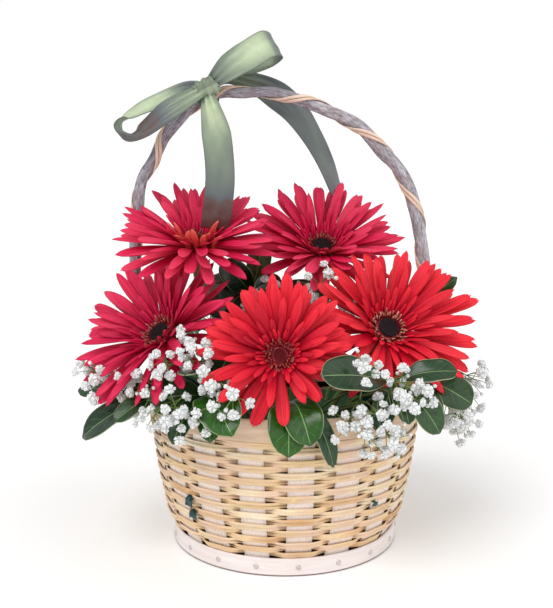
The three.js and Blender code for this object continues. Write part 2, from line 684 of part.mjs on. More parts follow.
// Point of the handle's middle line nearest to a wanted place, and the direction there
function handleNear(wanted) {
  const samples = HANDLE.getSpacedPoints(400);
  const gaps = samples.map((point) => point.distanceTo(wanted));
  const best = gaps.indexOf(Math.min(...gaps));
  return { point: samples[best], along: HANDLE.getTangentAt(best / (samples.length - 1)) };
}

// Ribbon along stations of [place, direction across whose length is the ribbon's width there]
function ribbonStrip(stations, steps) {
  const path = new THREE.CatmullRomCurve3(stations.map(([place]) => v(...place)), false, 'centripetal');
  const wide = new THREE.CatmullRomCurve3(stations.map(([, across]) => v(...across)), false, 'centripetal');
  const sections = [];
  for (let i = 0; i <= steps; i += 1) {
    const middle = path.getPoint(i / steps);
    const along = path.getTangent(i / steps);
    const across = wide.getPoint(i / steps);
    const width = across.length();
    across.addScaledVector(along, -across.dot(along)).setLength(width / 2);
    const face = new THREE.Vector3().crossVectors(along, across).setLength(RIBBON.thickness / 2);
    sections.push([[-1, -1], [1, -1], [1, 1], [-1, 1]].map(([side, skin]) => (
      middle.clone().addScaledVector(across, side).addScaledVector(face, skin)
    )));
  }
  return toSolid(loft(sections, { onBack: onStripBack }));
}

// Bow, knot, loop round the handle and both tails of one strip
function ribbonBow() {
  const seat = handleNear(v(...RIBBON.seat));
  const lay = new THREE.Quaternion().setFromUnitVectors(v(0, 0, 1), seat.along);
  const wrap = hoop(RIBBON.wrap, RIBBON.wrapSides).applyQuaternion(lay).translate(...seat.point.toArray());
  const knot = new THREE.IcosahedronGeometry(1, 1).scale(...RIBBON.knotSize).translate(...RIBBON.knot);
  const strips = RIBBON_STRIPS.map(({ stations, steps }) => ribbonStrip(stations, steps));
  return fuse([toSolid(wrap), toSolid(knot), ...strips]);
}

// Turned frame of a flower head: X to the right, Y away from the viewer and up, Z along its face's normal
function headFrame({ eye, normal }) {
  const out = v(...normal).normalize();
  const right = new THREE.Vector3().crossVectors(v(0, 0, 1), out).normalize();
  const away = new THREE.Vector3().crossVectors(out, right);
  return new THREE.Matrix4().makeBasis(right, away, out).setPosition(v(...eye));
}

// Floret blade in a head's frame: it leaves the middle at one slope and arches to another
function floret({ turn, root, height, length, width, rise, fall }) {
  const stations = length > SHORT_FLORET ? FLORET_STATIONS : SHORT_FLORET_STATIONS;
  const out = v(Math.cos(turn), Math.sin(turn), 0);
  const across = v(-Math.sin(turn), Math.cos(turn), 0);
  const middle = out.clone().multiplyScalar(root).setZ(height);
  let before = 0;
  const sections = stations.map(([t, wide]) => {
    const slope = THREE.MathUtils.degToRad(rise + ((fall - rise) * (t + before)) / 2);
    const step = (t - before) * length;
    before = t;
    middle.addScaledVector(out, step * Math.cos(slope)).setZ(middle.z + step * Math.sin(slope));
    const up = out.clone().multiplyScalar(-Math.sin(slope)).setZ(Math.cos(slope));
    const keel = middle.clone().addScaledVector(up, -FLORET_KEEL);
    if (wide === 0) return [middle.clone()];
    const half = (wide * width) / 2;
    const edges = [half, -half].map((side) => middle.clone().addScaledVector(across, side));
    return [...edges, keel];
  });
  return loft(sections);
}

// Red head: a receptacle with layers of ray florets, each bent clear of what stands there
function bloomHead(bloom) {
  const frame = headFrame(bloom);
  const draw = drawer(bloom.seed);
  const hub = toSolid(turned(HUB, HUB_SIDES).applyMatrix4(frame));
  const parts = [hub];
  const sisters = [];
  for (const layer of LAYERS) {
    for (let i = 0; i < layer.count; i += 1) {
      const turn = (2 * Math.PI * (i + layer.shift + 0.3 * (draw() - 0.5))) / layer.count;
      const length = layer.reach * bloom.reach * (0.94 + 0.12 * draw());
      const rise = layer.rise + bloom.cup + 6 * (draw() - 0.5);
      const fall = layer.fall + bloom.cup + 8 * (draw() - 0.5) - bloom.sag * Math.max(0, -Math.sin(turn));
      const solid = bentClear(bloom.name, (lift, sway, size) => floret({
        turn: turn + THREE.MathUtils.degToRad(sway / 2),
        root: layer.root,
        height: layer.height,
        length: length * size,
        width: layer.width,
        rise: rise + lift,
        fall: fall + lift,
      }).applyMatrix4(frame), hub, sisters);
      if (solid) parts.push(solid);
    }
  }
  return fuse(parts);
}

function bloomEye(bloom) {
  return toSolid(turned(EYE, CALYX_SIDES).applyMatrix4(headFrame(bloom)));
}

// Stem planted in the foam and the calyx cup under the head
function bloomStem(bloom) {
  const out = v(...bloom.normal).normalize();
  const eye = v(...bloom.eye);
  const foot = footing(...bloom.foot);
  const neck = eye.clone().addScaledVector(out, -NECK);
  const bend = foot[3].clone().lerp(neck, 0.55);
  const stem = plantedStem([...foot, bend, neck, eye.addScaledVector(out, -STEM_END)], STEM_RADIUS, 9, 5);
  return stem.add(toSolid(turned(CALYX, CALYX_SIDES).applyMatrix4(headFrame(bloom))));
}

// Stem of a sprig or a spray, set in place before the heads so that they bend clear of it
function growStem(plant, end, radius) {
  const bend = plant.bend ? [v(...plant.bend)] : [];
  const stem = plantedStem([...footing(...plant.foot), ...bend, v(...end)], radius, 6, 4);
  keepClearOf(stem, plant.name);
  return { ...plant, stem };
}

// Obovate leaf blade from its root to its tip, arched along its face and folded a little at the rib
function leafBlade({ root, tip, width, face, arch }) {
  const along = tip.clone().sub(root);
  const across = new THREE.Vector3().crossVectors(along, face).normalize();
  const up = new THREE.Vector3().crossVectors(across, along).normalize();
  const sections = LEAF_STATIONS.map(([t, wide]) => {
    const middle = root.clone().addScaledVector(along, t).addScaledVector(up, 4 * arch * t * (1 - t));
    if (wide === 0) return [middle];
    const half = (wide * width) / 2;
    const edge = middle.clone().addScaledVector(up, LEAF_FOLD * half);
    return [
      edge.clone().addScaledVector(across, half),
      edge.clone().addScaledVector(across, -half),
      middle.clone().addScaledVector(up, -LEAF_THICKNESS),
    ];
  });
  return loft(sections);
}

// Leafy stem: its leaves stand round the top of a short stem planted in the foam
function leafSprig({ name, stem, top, leaves }) {
  const root = v(...top);
  const parts = [stem];
  const sisters = [];
  const joint = toSolid(new THREE.IcosahedronGeometry(2 * TWIG_RADIUS, 0).translate(...top));
  for (const { tip, width, face, arch = 6 } of leaves) {
    const reach = v(...tip).sub(root);
    const front = v(...face).normalize();
    const side = new THREE.Vector3().crossVectors(reach, front).normalize();
    const solid = bentClear(name, (lift, sway, size) => {
      const bent = reach.clone().multiplyScalar(size)
        .applyAxisAngle(side, THREE.MathUtils.degToRad(lift))
        .applyAxisAngle(front, THREE.MathUtils.degToRad(sway));
      return leafBlade({ root, tip: root.clone().add(bent), width, face: front, arch });
    }, joint, sisters);
    if (solid) parts.push(solid);
  }
  return fuse(parts);
}

// Forked branch that swells into a double floret at each of its knots and closes at the last
function floretBranch(start, knots) {
  const path = [start, ...knots];
  let side = v(0, 0, 1);
  const ring = (at, along, radius) => {
    const across = side.clone().addScaledVector(along, -side.dot(along)).normalize();
    side = across;
    const other = new THREE.Vector3().crossVectors(along, across);
    return [0, 1, 2].map((i) => {
      const turn = (2 * Math.PI * i) / 3;
      return at.clone().addScaledVector(across, radius * Math.cos(turn))
        .addScaledVector(other, radius * Math.sin(turn));
    });
  };
  const toward = path.slice(1).map((knot, i) => knot.clone().sub(path[i]).normalize());
  const sections = [ring(start, toward[0], TWIGLET_RADIUS)];
  knots.forEach((knot, i) => {
    const onward = toward[i + 1] || toward[i];
    const through = toward[i].clone().add(onward).normalize();
    const closing = knot.clone().addScaledVector(onward, FLORET_CLOSING);
    sections.push(ring(knot.clone().addScaledVector(toward[i], -FLORET_RADIUS), toward[i], TWIGLET_RADIUS));
    sections.push(ring(knot, through, FLORET_RADIUS));
    sections.push(i < knots.length - 1 ? ring(closing, onward, TWIGLET_RADIUS) : [closing]);
  });
  return toSolid(loft(sections));
}

// Vector with each part drawn between minus half and half of a size
function drawnVector(draw, size) {
  return v(draw() - 0.5, draw() - 0.5, draw() - 0.5).multiplyScalar(size);
}

// Branch from the fork to a wanted place and on for a few florets, as far as each next one is clear
function clearBranch(owner, crotch, wanted, draw) {
  for (let stray = 0; stray < WANDER.strays; stray += 1) {
    let knots = [drawnVector(draw, WANDER.strayStep * stray).add(wanted)];
    let branch = floretBranch(crotch, knots);
    if (isClear(branch, owner)) {
      for (let attempt = 0; attempt < WANDER.attempts && knots.length < FLORETS_A_BRANCH; attempt += 1) {
        const last = knots[knots.length - 1];
        const before = knots.length > 1 ? knots[knots.length - 2] : crotch;
        const onward = last.clone().sub(before).normalize();
        const step = onward.clone().add(drawnVector(draw, WANDER.swerve)).setLength(FLORET_STEP);
        const longer = [...knots, last.clone().add(step)];
        const gentle = step.dot(onward) > WANDER.straightness * FLORET_STEP;
        const next = gentle ? floretBranch(crotch, longer) : null;
        if (next && isClear(next, owner)) {
          knots = longer;
          branch = next;
        }
      }
      return branch;
    }
  }
  return null;
}

// Spray: a stem from the foam and, at its fork, a branch to each wanted place
function gypSpray({ name, stem, fork, tips, seed }) {
  const draw = drawer(seed);
  const crotch = v(...fork);
  const parts = [stem];
  for (const tip of tips) {
    const branch = clearBranch(name, crotch, v(...tip), draw);
    if (branch) parts.push(branch);
  }
  return fuse(parts);
}

place('base_board', WOOD, baseBoard());
place('base_band', PALE_WOOD, baseBand());
place('stake_cage', PALE_WOOD, stakeCage());
for (let row = 0; row < ROWS; row += 1) {
  place(`weaver_row_${String(row + 1).padStart(2, '0')}`, STRIP_WOOD, weaverRow(row));
}
place('rim_hoop', WOOD, toSolid(hoop(RIM, HOOP_SIDES)));
place('handle_branch', BARK, handleBranch());
place('handle_cane', CANE_SKIN, handleCane());
place('liner', FILM, liner());
place('ribbon_bow', SATIN, ribbonBow());
for (const bloom of BLOOMS) {
  place(`gerbera_${bloom.name}_stem`, STEM_GREEN, bloomStem(bloom));
  place(`gerbera_${bloom.name}_eye`, EYE_BLACK, bloomEye(bloom));
}
const sprigs = SPRIGS.map((sprig) => growStem(sprig, sprig.top, TWIG_RADIUS));
const sprays = SPRAYS.map((spray) => growStem(spray, spray.fork, SPRAY_RADIUS));
for (const bloom of BLOOMS) place(`gerbera_${bloom.name}_head`, bloom.color, bloomHead(bloom));
for (const sprig of sprigs) place(sprig.name, LEAF_GREEN, leafSprig(sprig));
for (const spray of sprays) place(spray.name, FLORET_WHITE, gypSpray(spray));
place('foam', FOAM_GREEN, stemHoles.reduce((block, hole) => block.subtract(hole), foamBlock()));

export default basket;
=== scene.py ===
"""Flower basket arrangement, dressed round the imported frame.

A round split-wood basket with a branch handle and a satin bow holds five gerberas, leafy sprigs and sprays
of gypsophila. Every piece is built in millimetres, in the frame's own axes, and set down in metres.
"""
from __future__ import annotations

import logging
import math
from collections.abc import Callable, Sequence
from dataclasses import dataclass, field, replace
from enum import Enum
from random import Random
from typing import Any

import bmesh
import bpy
from bpy.types import ID, Material, Mesh, Node, NodeSocket, NodeTree, Object
from mathutils import Matrix, Vector, noise
from mathutils.bvhtree import BVHTree


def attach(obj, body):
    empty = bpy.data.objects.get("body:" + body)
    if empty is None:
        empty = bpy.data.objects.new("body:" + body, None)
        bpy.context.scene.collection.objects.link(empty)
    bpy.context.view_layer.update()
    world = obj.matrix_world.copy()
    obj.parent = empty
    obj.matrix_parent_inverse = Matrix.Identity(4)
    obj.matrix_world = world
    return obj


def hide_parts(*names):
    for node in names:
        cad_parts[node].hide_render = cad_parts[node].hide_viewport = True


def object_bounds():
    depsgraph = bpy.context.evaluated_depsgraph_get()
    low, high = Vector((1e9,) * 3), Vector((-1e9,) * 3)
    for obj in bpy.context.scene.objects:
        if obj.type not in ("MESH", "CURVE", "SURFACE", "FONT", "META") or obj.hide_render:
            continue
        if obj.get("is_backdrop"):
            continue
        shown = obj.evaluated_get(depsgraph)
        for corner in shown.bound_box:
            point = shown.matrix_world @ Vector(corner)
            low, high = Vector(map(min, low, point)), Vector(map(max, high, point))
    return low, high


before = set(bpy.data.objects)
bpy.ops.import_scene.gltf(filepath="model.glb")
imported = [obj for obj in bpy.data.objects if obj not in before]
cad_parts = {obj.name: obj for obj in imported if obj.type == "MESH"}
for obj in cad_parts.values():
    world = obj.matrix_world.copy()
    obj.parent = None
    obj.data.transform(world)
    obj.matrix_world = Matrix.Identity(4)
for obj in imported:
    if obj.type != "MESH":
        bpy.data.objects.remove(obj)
CAD_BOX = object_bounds()

LOG = logging.getLogger("flower_basket")
MM = 0.001
WELD = 0.002
FULL_TURN = 2 * math.pi
UP = Vector((0, 0, 1))
BACK = Vector((0, 1, 0))
GOLDEN_TURN = math.pi * (3 - math.sqrt(5))

Faces = list[bmesh.types.BMFace]
Rule = Callable[[float, float], Vector]
Maker = Callable[[float, float, float], Rule]
Tone = float | Callable[[float, float], float]
Triple = tuple[float, float, float]
Color = tuple[float, float, float, float]
Stations = Sequence[tuple[float, float]]
Profile = tuple[Triple, ...]


def shade(code: int) -> Color:
    """Returns the linear colour of a code with two hexadecimal digits each for red, green and blue."""
    return (*((part / 255) ** 2.2 for part in code.to_bytes(3, "big")), 1.0)


def clamped(value: float) -> float:
    """Returns a value held between 0 and 1."""
    return min(max(value, 0.0), 1.0)


def around(turn: float, radius: float = 1.0, height: float = 0.0) -> Vector:
    """Returns the point at a turn, a radius and a height round the Z axis."""
    return Vector((radius * math.cos(turn), radius * math.sin(turn), height))


def beside(turn: float) -> Vector:
    """Returns the way round the Z axis at a turn."""
    return Vector((-math.sin(turn), math.cos(turn), 0))


def run(stations: Stations, place: float) -> float:
    """Reads a smooth run of values.

    Args:
        stations: Pairs of place and value, places rising.
        place: Where to read it.

    Returns:
        The value there, held at both ends.
    """
    if place <= stations[0][0]:
        return stations[0][1]
    for i in range(1, len(stations)):
        (left, low), (right, high) = stations[i - 1], stations[i]
        if place <= right:
            before = stations[max(i - 2, 0)]
            after = stations[min(i + 1, len(stations) - 1)]
            span = right - left
            rise_in = (high - before[1]) / (right - before[0]) * span
            rise_out = (after[1] - low) / (after[0] - left) * span
            s = (place - left) / span
            return (
                low + s * rise_in
                + s * s * (3 * (high - low) - 2 * rise_in - rise_out)
                + s * s * s * (2 * (low - high) + rise_in + rise_out)
            )
    return stations[-1][1]


def split(profile: Profile) -> tuple[Stations, Stations]:
    """Returns the runs of radii and of heights of a profile, which holds places, radii and heights."""
    radii = [(place, radius) for place, radius, _ in profile]
    heights = [(place, height) for place, _, height in profile]
    return radii, heights


def lathe(profile: Profile, spot: Matrix, scale: float = 1.0) -> Rule:
    """Returns the rule of a round shape.

    Args:
        profile: Its places, radii and heights from one end to the other.
        spot: Its frame.
        scale: What its radii are multiplied by.
    """
    radii, heights = split(profile)

    def rule(u: float, v: float) -> Vector:
        return spot @ around(FULL_TURN * u, scale * run(radii, v), run(heights, v))

    return rule


def faced(way: Vector) -> Matrix:
    """Returns the turn that brings Z into a given way."""
    return way.to_track_quat("Z", "Y").to_matrix().to_4x4()


def add_object(name: str, data: ID) -> Object:
    """Adds an object to the scene and returns it."""
    made = bpy.data.objects.new(name, data)
    bpy.context.scene.collection.objects.link(made)
    return made


class Line:
    """Smooth line through given points, with centripetal spacing."""

    STEPS = 240

    def __init__(self, points: Sequence[Sequence[float]], closed: bool = False) -> None:
        """Keeps the points and measures the line.

        Args:
            points: The points in order, in millimetres.
            closed: True where the line returns to its first point.
        """
        self.points = [Vector(point) for point in points]
        self.closed = closed
        self.spans = len(self.points) - (0 if closed else 1)
        self.lengths = [0.0]
        last = self.at(0)
        for i in range(1, self.STEPS + 1):
            here = self.at(i / self.STEPS)
            self.lengths.append(self.lengths[-1] + (here - last).length)
            last = here
        self.length = self.lengths[-1]

    def point(self, i: int) -> Vector:
        """Returns point i, carried on past the ends of an open line."""
        count = len(self.points)
        if self.closed:
            return self.points[i % count]
        if i < 0:
            return 2 * self.points[0] - self.points[1]
        if i >= count:
            return 2 * self.points[-1] - self.points[-2]
        return self.points[i]

    def at(self, share: float) -> Vector:
        """Returns the place at a share of the line's spans."""
        place = clamped(share) * self.spans
        k = min(int(place), self.spans - 1)
        w = place - k
        p0, p1, p2, p3 = (self.point(k + i) for i in (-1, 0, 1, 2))
        d0, d1, d2 = (max((b - a).length_squared, 1e-8) ** 0.25 for a, b in ((p0, p1), (p1, p2), (p2, p3)))
        leave = ((p1 - p0) / d0 - (p2 - p0) / (d0 + d1) + (p2 - p1) / d1) * d1
        meet = ((p2 - p1) / d1 - (p3 - p1) / (d1 + d2) + (p3 - p2) / d2) * d1
        second = 3 * (p2 - p1) - 2 * leave - meet
        third = 2 * (p1 - p2) + leave + meet
        return p1 + (leave + (second + third * w) * w) * w

    def share_at(self, part: float) -> float:
        """Returns the share of spans at a part of the line's length."""
        wanted = part * self.length
        low, high = 0, self.STEPS
        while high - low > 1:
            middle = (low + high) // 2
            if self.lengths[middle] <= wanted:
                low = middle
            else:
                high = middle
        step = self.lengths[high] - self.lengths[low]
        return (low + (wanted - self.lengths[low]) / max(step, 1e-9)) / self.STEPS

    def along(self, share: float) -> Vector:
        """Returns the line's direction at a share of its spans."""
        reach = 1e-3
        return (self.at(share + reach) - self.at(share - reach)).normalized()

    def near(self, wanted: Vector) -> tuple[Vector, Vector]:
        """Returns the line's place nearest to a wanted one, and its direction there."""
        shares = [i / self.STEPS for i in range(self.STEPS + 1)]
        best = min(shares, key=lambda share: (self.at(share) - wanted).length)
        return self.at(best), self.along(best)


class Tree:
    """Short ways to add nodes to a node tree and join them."""

    def __init__(self, tree: NodeTree) -> None:
        """Keeps the tree."""
        self.tree = tree

    def add(self, kind: str, sockets: dict[str | int, Any] | None = None, **settings: Any) -> Node:
        """Adds a node.

        Args:
            kind: The node's type without its leading ShaderNode.
            sockets: For each input, a value or the output that feeds it.
            settings: The node's own settings.

        Returns:
            The new node.
        """
        node = self.tree.nodes.new("ShaderNode" + kind)
        for name, value in settings.items():
            setattr(node, name, value)
        for name, value in (sockets or {}).items():
            self.feed(node.inputs[name], value)
        return node

    def feed(self, socket: NodeSocket, value: Any) -> None:
        """Joins an output to an input, or sets the input's value."""
        if isinstance(value, NodeSocket):
            self.tree.links.new(value, socket)
        else:
            socket.default_value = value

    def mix(self, share: Any, first: Any, second: Any) -> NodeSocket:
        """Returns a blend of two colours, by the sockets that the Mix node keeps for colour."""
        return self.add("Mix", {0: share, 6: first, 7: second}, data_type="RGBA").outputs[2]

    def sum(self, kind: str, *values: Any) -> NodeSocket:
        """Returns the result of one Math node."""
        return self.add("Math", dict(enumerate(values)), operation=kind).outputs[0]

    def steps(self, share: Any, stops: Sequence[tuple[float, Color]]) -> NodeSocket:
        """Returns a colour run read at a share."""
        node = self.add("ValToRGB", {0: share})
        bar = node.color_ramp.elements
        while len(bar) < len(stops):
            bar.new(0.5)
        for element, (place, color) in zip(bar, stops):
            element.position = place
            element.color = color
        return node.outputs[0]

    def fit(self, value: Any, low: float, high: float, to_low: float = 0.0, to_high: float = 1.0) -> Any:
        """Returns a value moved smoothly from one range into another."""
        sockets = dict(enumerate((value, low, high, to_low, to_high)))
        return self.add("MapRange", sockets, interpolation_type="SMOOTHSTEP").outputs[0]

    def chart(self) -> NodeSocket:
        """Returns the piece's own map."""
        return self.add("UVMap", uv_map="UVMap").outputs[0]

    def tone(self) -> NodeSocket:
        """Returns the piece's own tone."""
        return self.add("Attribute", attribute_name="tone").outputs["Fac"]

    def spot(self) -> NodeSocket:
        """Returns the place in the object's own axes."""
        return self.add("TexCoord").outputs["Object"]

    def parts(self, place: Any) -> Any:
        """Returns the three parts of a place."""
        return self.add("SeparateXYZ", {0: place}).outputs

    def joined(self, *parts: Any) -> NodeSocket:
        """Returns the place with three given parts."""
        return self.add("CombineXYZ", dict(enumerate(parts))).outputs[0]

    def stretched(self, place: Any, by: Any) -> NodeSocket:
        """Returns a place with each part multiplied by its own number."""
        return self.add("VectorMath", {0: place, 1: by}, operation="MULTIPLY").outputs[0]

    def speckle(self, place: Any, scale: Any, detail: float, roughness: float = 0.5) -> NodeSocket:
        """Returns a random height that changes smoothly from place to place."""
        sockets = {"Vector": place, "Scale": scale, "Detail": detail, "Roughness": roughness}
        return self.add("TexNoise", sockets).outputs[0]


def shared_group(name: str, takes: dict[str, str], gives: dict[str, str]) -> tuple[Tree, Any, Any]:
    """Starts a node group that several finishes share.

    Args:
        name: The group's name.
        takes: Its inputs as name and socket type, such as Float.
        gives: Its outputs in the same way.

    Returns:
        The group's tree, its input node's outputs and its output node's inputs.
    """
    group = bpy.data.node_groups.new(name, "ShaderNodeTree")
    for side, sockets in (("INPUT", takes), ("OUTPUT", gives)):
        for label, kind in sockets.items():
            group.interface.new_socket(label, in_out=side, socket_type="NodeSocket" + kind)
    tree = Tree(group)
    inner = group.nodes.new("NodeGroupInput")
    outer = group.nodes.new("NodeGroupOutput")
    return tree, inner.outputs, outer.inputs


def fibre_group() -> NodeTree:
    """Lengthwise fibres: two colours in thin streaks, and their height."""
    takes = {"Place": "Vector", "Across": "Float", "Along": "Float", "Light": "Color", "Dark": "Color"}
    tree, given, made = shared_group("fibres", takes, {"Color": "Color", "Height": "Float"})
    place = tree.stretched(given["Place"], tree.joined(given["Across"], given["Along"], given["Along"]))
    fine = tree.speckle(place, 1.0, 6.0, 0.62)
    broad = tree.speckle(place, 0.27, 2.0)
    height = tree.sum("ADD", tree.sum("MULTIPLY", fine, 0.65), tree.sum("MULTIPLY", broad, 0.35))
    tree.feed(made["Color"], tree.mix(tree.fit(height, 0.36, 0.62), given["Dark"], given["Light"]))
    tree.feed(made["Height"], height)
    return tree.tree


def mottle_group() -> NodeTree:
    """Broad uneven tint over a colour."""
    takes = {"Color": "Color", "Tint": "Color", "Size": "Float", "Amount": "Float"}
    tree, given, made = shared_group("mottle", takes, {"Color": "Color"})
    spots = tree.speckle(tree.spot(), given["Size"], 3.0, 0.55)
    mask = tree.sum("MULTIPLY", tree.fit(spots, 0.38, 0.66), given["Amount"])
    tree.feed(made["Color"], tree.mix(mask, given["Color"], given["Tint"]))
    return tree.tree


def blade_group() -> NodeTree:
    """Marks of a blade from its own map.

    Side is 0 at the rib and 1 at the edge, signed runs from -1 to 1 across it, and way is 0 at the root and
    1 at the tip.
    """
    gives = {"Side": "Float", "Way": "Float", "Streaks": "Float", "Signed": "Float"}
    tree, given, made = shared_group("blade_marks", {"Across": "Float", "Along": "Float"}, gives)
    across, way, _ = tree.parts(tree.chart())
    signed = tree.sum("SUBTRACT", tree.sum("MULTIPLY", across, 2.0), 1.0)
    shifted = tree.joined(across, way, tree.sum("MULTIPLY", tree.tone(), 37.0))
    place = tree.stretched(shifted, tree.joined(given["Across"], given["Along"], 1.0))
    marks = {
        "Side": tree.sum("ABSOLUTE", signed), "Way": way, "Streaks": tree.speckle(place, 1.0, 4.0, 0.6),
        "Signed": signed,
    }
    for label, mark in marks.items():
        tree.feed(made[label], mark)
    return tree.tree


@dataclass
class Palette:
    """Every finish of the arrangement, built once."""

    fibres: NodeTree = field(default_factory=fibre_group)
    mottle: NodeTree = field(default_factory=mottle_group)
    marks: NodeTree = field(default_factory=blade_group)
    made: dict[str, Material] = field(default_factory=dict)

    def start(self, name: str, plain: dict[str, Any]) -> tuple[Tree, Node]:
        """Starts a material.

        Args:
            name: The finish's name.
            plain: Values of the shader's own sockets.

        Returns:
            Its node tree and its shader.
        """
        material = bpy.data.materials.new(name)
        material.use_nodes = True
        shader = material.node_tree.nodes["Principled BSDF"]
        for socket, value in plain.items():
            shader.inputs[socket].default_value = value
        self.made[name] = material
        return Tree(material.node_tree), shader

    def place(self, tree: Tree, group: NodeTree, sockets: dict[str, Any]) -> Any:
        """Places a shared group and returns its outputs."""
        node = tree.add("Group", node_tree=group)
        for name, value in sockets.items():
            tree.feed(node.inputs[name], value)
        return node.outputs

    def mottled(self, tree: Tree, color: Any, tint: Color, size: float, amount: float) -> Any:
        """Returns a colour with a broad uneven tint over it."""
        spots = {"Color": color, "Tint": tint, "Size": size, "Amount": amount}
        return self.place(tree, self.mottle, spots)["Color"]

    def relief(self, tree: Tree, shader: Node, height: Any, strength: float, depth: float) -> None:
        """Feeds a height into the shader's normal. Depth is in metres."""
        bump = tree.add("Bump", {"Strength": strength, "Distance": depth, "Height": height})
        tree.feed(shader.inputs["Normal"], bump.outputs[0])

    def wood(self, look: Wood) -> None:
        """Fibrous split wood, bark or cane from its own table of values."""
        tree, shader = self.start(look.name, {"Roughness": look.roughness, "Specular IOR Level": look.gloss})
        chart = tree.chart()
        light = tree.steps(tree.tone(), look.lights)
        dark = tree.mix(look.depth, light, look.dark)
        sockets = {"Place": chart, "Across": look.across, "Along": look.along, "Light": light, "Dark": dark}
        fibres = self.place(tree, self.fibres, sockets)
        color = self.mottled(tree, fibres["Color"], look.tint, look.spot, look.spotting)
        if look.dashes:
            dashes = tree.speckle(tree.stretched(chart, DASH_STRETCH), 1.0, 2.0)
            mask = tree.sum("MULTIPLY", tree.fit(dashes, 0.56, 0.68), look.dashes)
            color = tree.mix(mask, color, look.dark)
        # Painted shadow: darker towards the piece's foot, below the foot height.
        if look.foot:
            height = tree.parts(tree.spot())[2]
            color = tree.mix(tree.fit(height, look.foot, look.foot * 0.4), color, look.dark)
        tree.feed(shader.inputs["Base Color"], color)
        self.relief(tree, shader, fibres["Height"], look.relief, look.rise)

    def petal(self, name: str, look: Petal, underside: bool) -> None:
        """Face or underside of the ray florets."""
        tree, shader = self.start(name, {"Roughness": 0.5, "Specular IOR Level": 0.2})
        marks = self.place(tree, self.marks, {"Across": 9.0, "Along": 1.1})
        tone = tree.tone()
        stops = ((0.0, look.root), (0.42, look.middle), (0.95, look.tip), (1.0, look.tip))
        color = tree.steps(marks["Way"], stops)
        # Painted shade: the colour darkens in the grooves between the floret's ridges.
        groove = tree.sum("COSINE", tree.sum("MULTIPLY", marks["Signed"], 3 * math.pi))
        for mark, low, high, most, over in (
            (marks["Streaks"], 0.42, 0.66, 0.5, look.deep), (tone, 0.55, 1.0, 0.55, look.bright),
            (tone, 0.22, 0.0, 0.6, look.deep), (groove, -0.4, -1.0, 0.25, look.deep),
        ):
            color = tree.mix(tree.fit(mark, low, high, 0.0, most), color, over)
        if underside:
            color = tree.mix(0.45, color, look.under)
        tree.feed(shader.inputs["Base Color"], color)
        self.relief(tree, shader, marks["Streaks"], 0.35, 0.0006)

    def leaf(self, name: str, look: LeafLook) -> None:
        """Face or underside of the leaves, with rib, side veins and pale margin."""
        tree, shader = self.start(name, look.plain)
        marks = self.place(tree, self.marks, {"Across": 5.0, "Along": 9.0})
        color = tree.mix(tree.tone(), look.dark, look.fresh)
        color = tree.mix(tree.fit(marks["Streaks"], 0.4, 0.7, 0.0, 0.45), color, look.shadow)
        rows = tree.sum("MULTIPLY", marks["Way"], look.vein_rows)
        slant = tree.sum("SUBTRACT", rows, tree.sum("MULTIPLY", marks["Side"], look.vein_slant))
        vein = tree.sum("ABSOLUTE", tree.sum("SUBTRACT", tree.sum("FRACT", slant), 0.5))
        veins = tree.sum("MULTIPLY", tree.fit(vein, 0.07, 0.015), tree.fit(marks["Side"], 0.9, 0.5))
        rib = tree.fit(marks["Side"], look.rib, look.rib * 0.35)
        margin = tree.fit(marks["Side"], 0.94, 0.99)
        color = tree.mix(tree.sum("MULTIPLY", veins, look.veining), color, look.pale)
        color = tree.mix(tree.sum("MULTIPLY", rib, 0.85), color, look.pale)
        color = tree.mix(tree.sum("MULTIPLY", margin, look.margin), color, look.cream)
        tree.feed(shader.inputs["Base Color"], color)
        streaks = tree.sum("MULTIPLY", marks["Streaks"], 0.5)
        height = tree.sum("SUBTRACT", streaks, tree.sum("MULTIPLY", veins, 0.6))
        self.relief(tree, shader, height, 0.4, 0.0007)

    def satin(self) -> None:
        """Satin ribbon: fine threads across it, a darker woven edge, a soft broad gloss, and painted
        highlights, shade and red reflections read at each piece's tone.
        """
        plain = {"Roughness": 0.34, "Sheen Weight": 0.15, "Sheen Roughness": 0.35, "Anisotropic": 0.5}
        tree, shader = self.start("satin", plain)
        chart = tree.chart()
        # The tone picks the satin's painted light: a red reflection, shade, plain sage or a highlight.
        color = self.mottled(tree, tree.steps(tree.tone(), SATIN_PAINTED_LIGHT), SATIN_TINT, 140.0, 0.14)
        side = tree.sum("ABSOLUTE", tree.sum("SUBTRACT", tree.parts(chart)[0], 1.0))
        color = tree.mix(tree.fit(side, 0.9, 0.99, 0.0, 0.5), color, SATIN_EDGE)
        tree.feed(shader.inputs["Base Color"], color)
        threads = tree.speckle(tree.stretched(chart, THREAD_STRETCH), 1.0, 2.0)
        self.relief(tree, shader, threads, 0.22, 0.0003)

    def grain(self, name: str, look: Grain) -> None:
        """Even matter with a fine grain, such as film, foam, metal, eye or white florets."""
        tree, shader = self.start(name, look.plain)
        color = self.mottled(tree, look.color, look.tint, look.spot, look.spotting)
        if look.toned:
            color = tree.mix(tree.tone(), color, look.toned)
        tree.feed(shader.inputs["Base Color"], color)
        pores = tree.speckle(tree.spot(), look.pore, 3.0)
        self.relief(tree, shader, pores, look.relief, look.rise)


@dataclass(frozen=True)
class Wood:
    """Values of one fibrous finish. Across and along count streaks a centimetre, rise is in metres, and foot
    is the height in metres below which a painted shadow darkens it.
    """

    name: str
    lights: tuple[tuple[float, Color], ...]
    dark: Color
    tint: Color
    across: float = 18.0
    along: float = 0.7
    depth: float = 0.5
    spot: float = 45.0
    spotting: float = 0.35
    roughness: float = 0.62
    gloss: float = 0.35
    relief: float = 0.5
    rise: float = 0.0006
    dashes: float = 0.0
    foot: float = 0.0


@dataclass(frozen=True)
class Petal:
    """Colours of a gerbera's ray florets."""

    root: Color
    middle: Color
    tip: Color
    deep: Color
    bright: Color
    under: Color


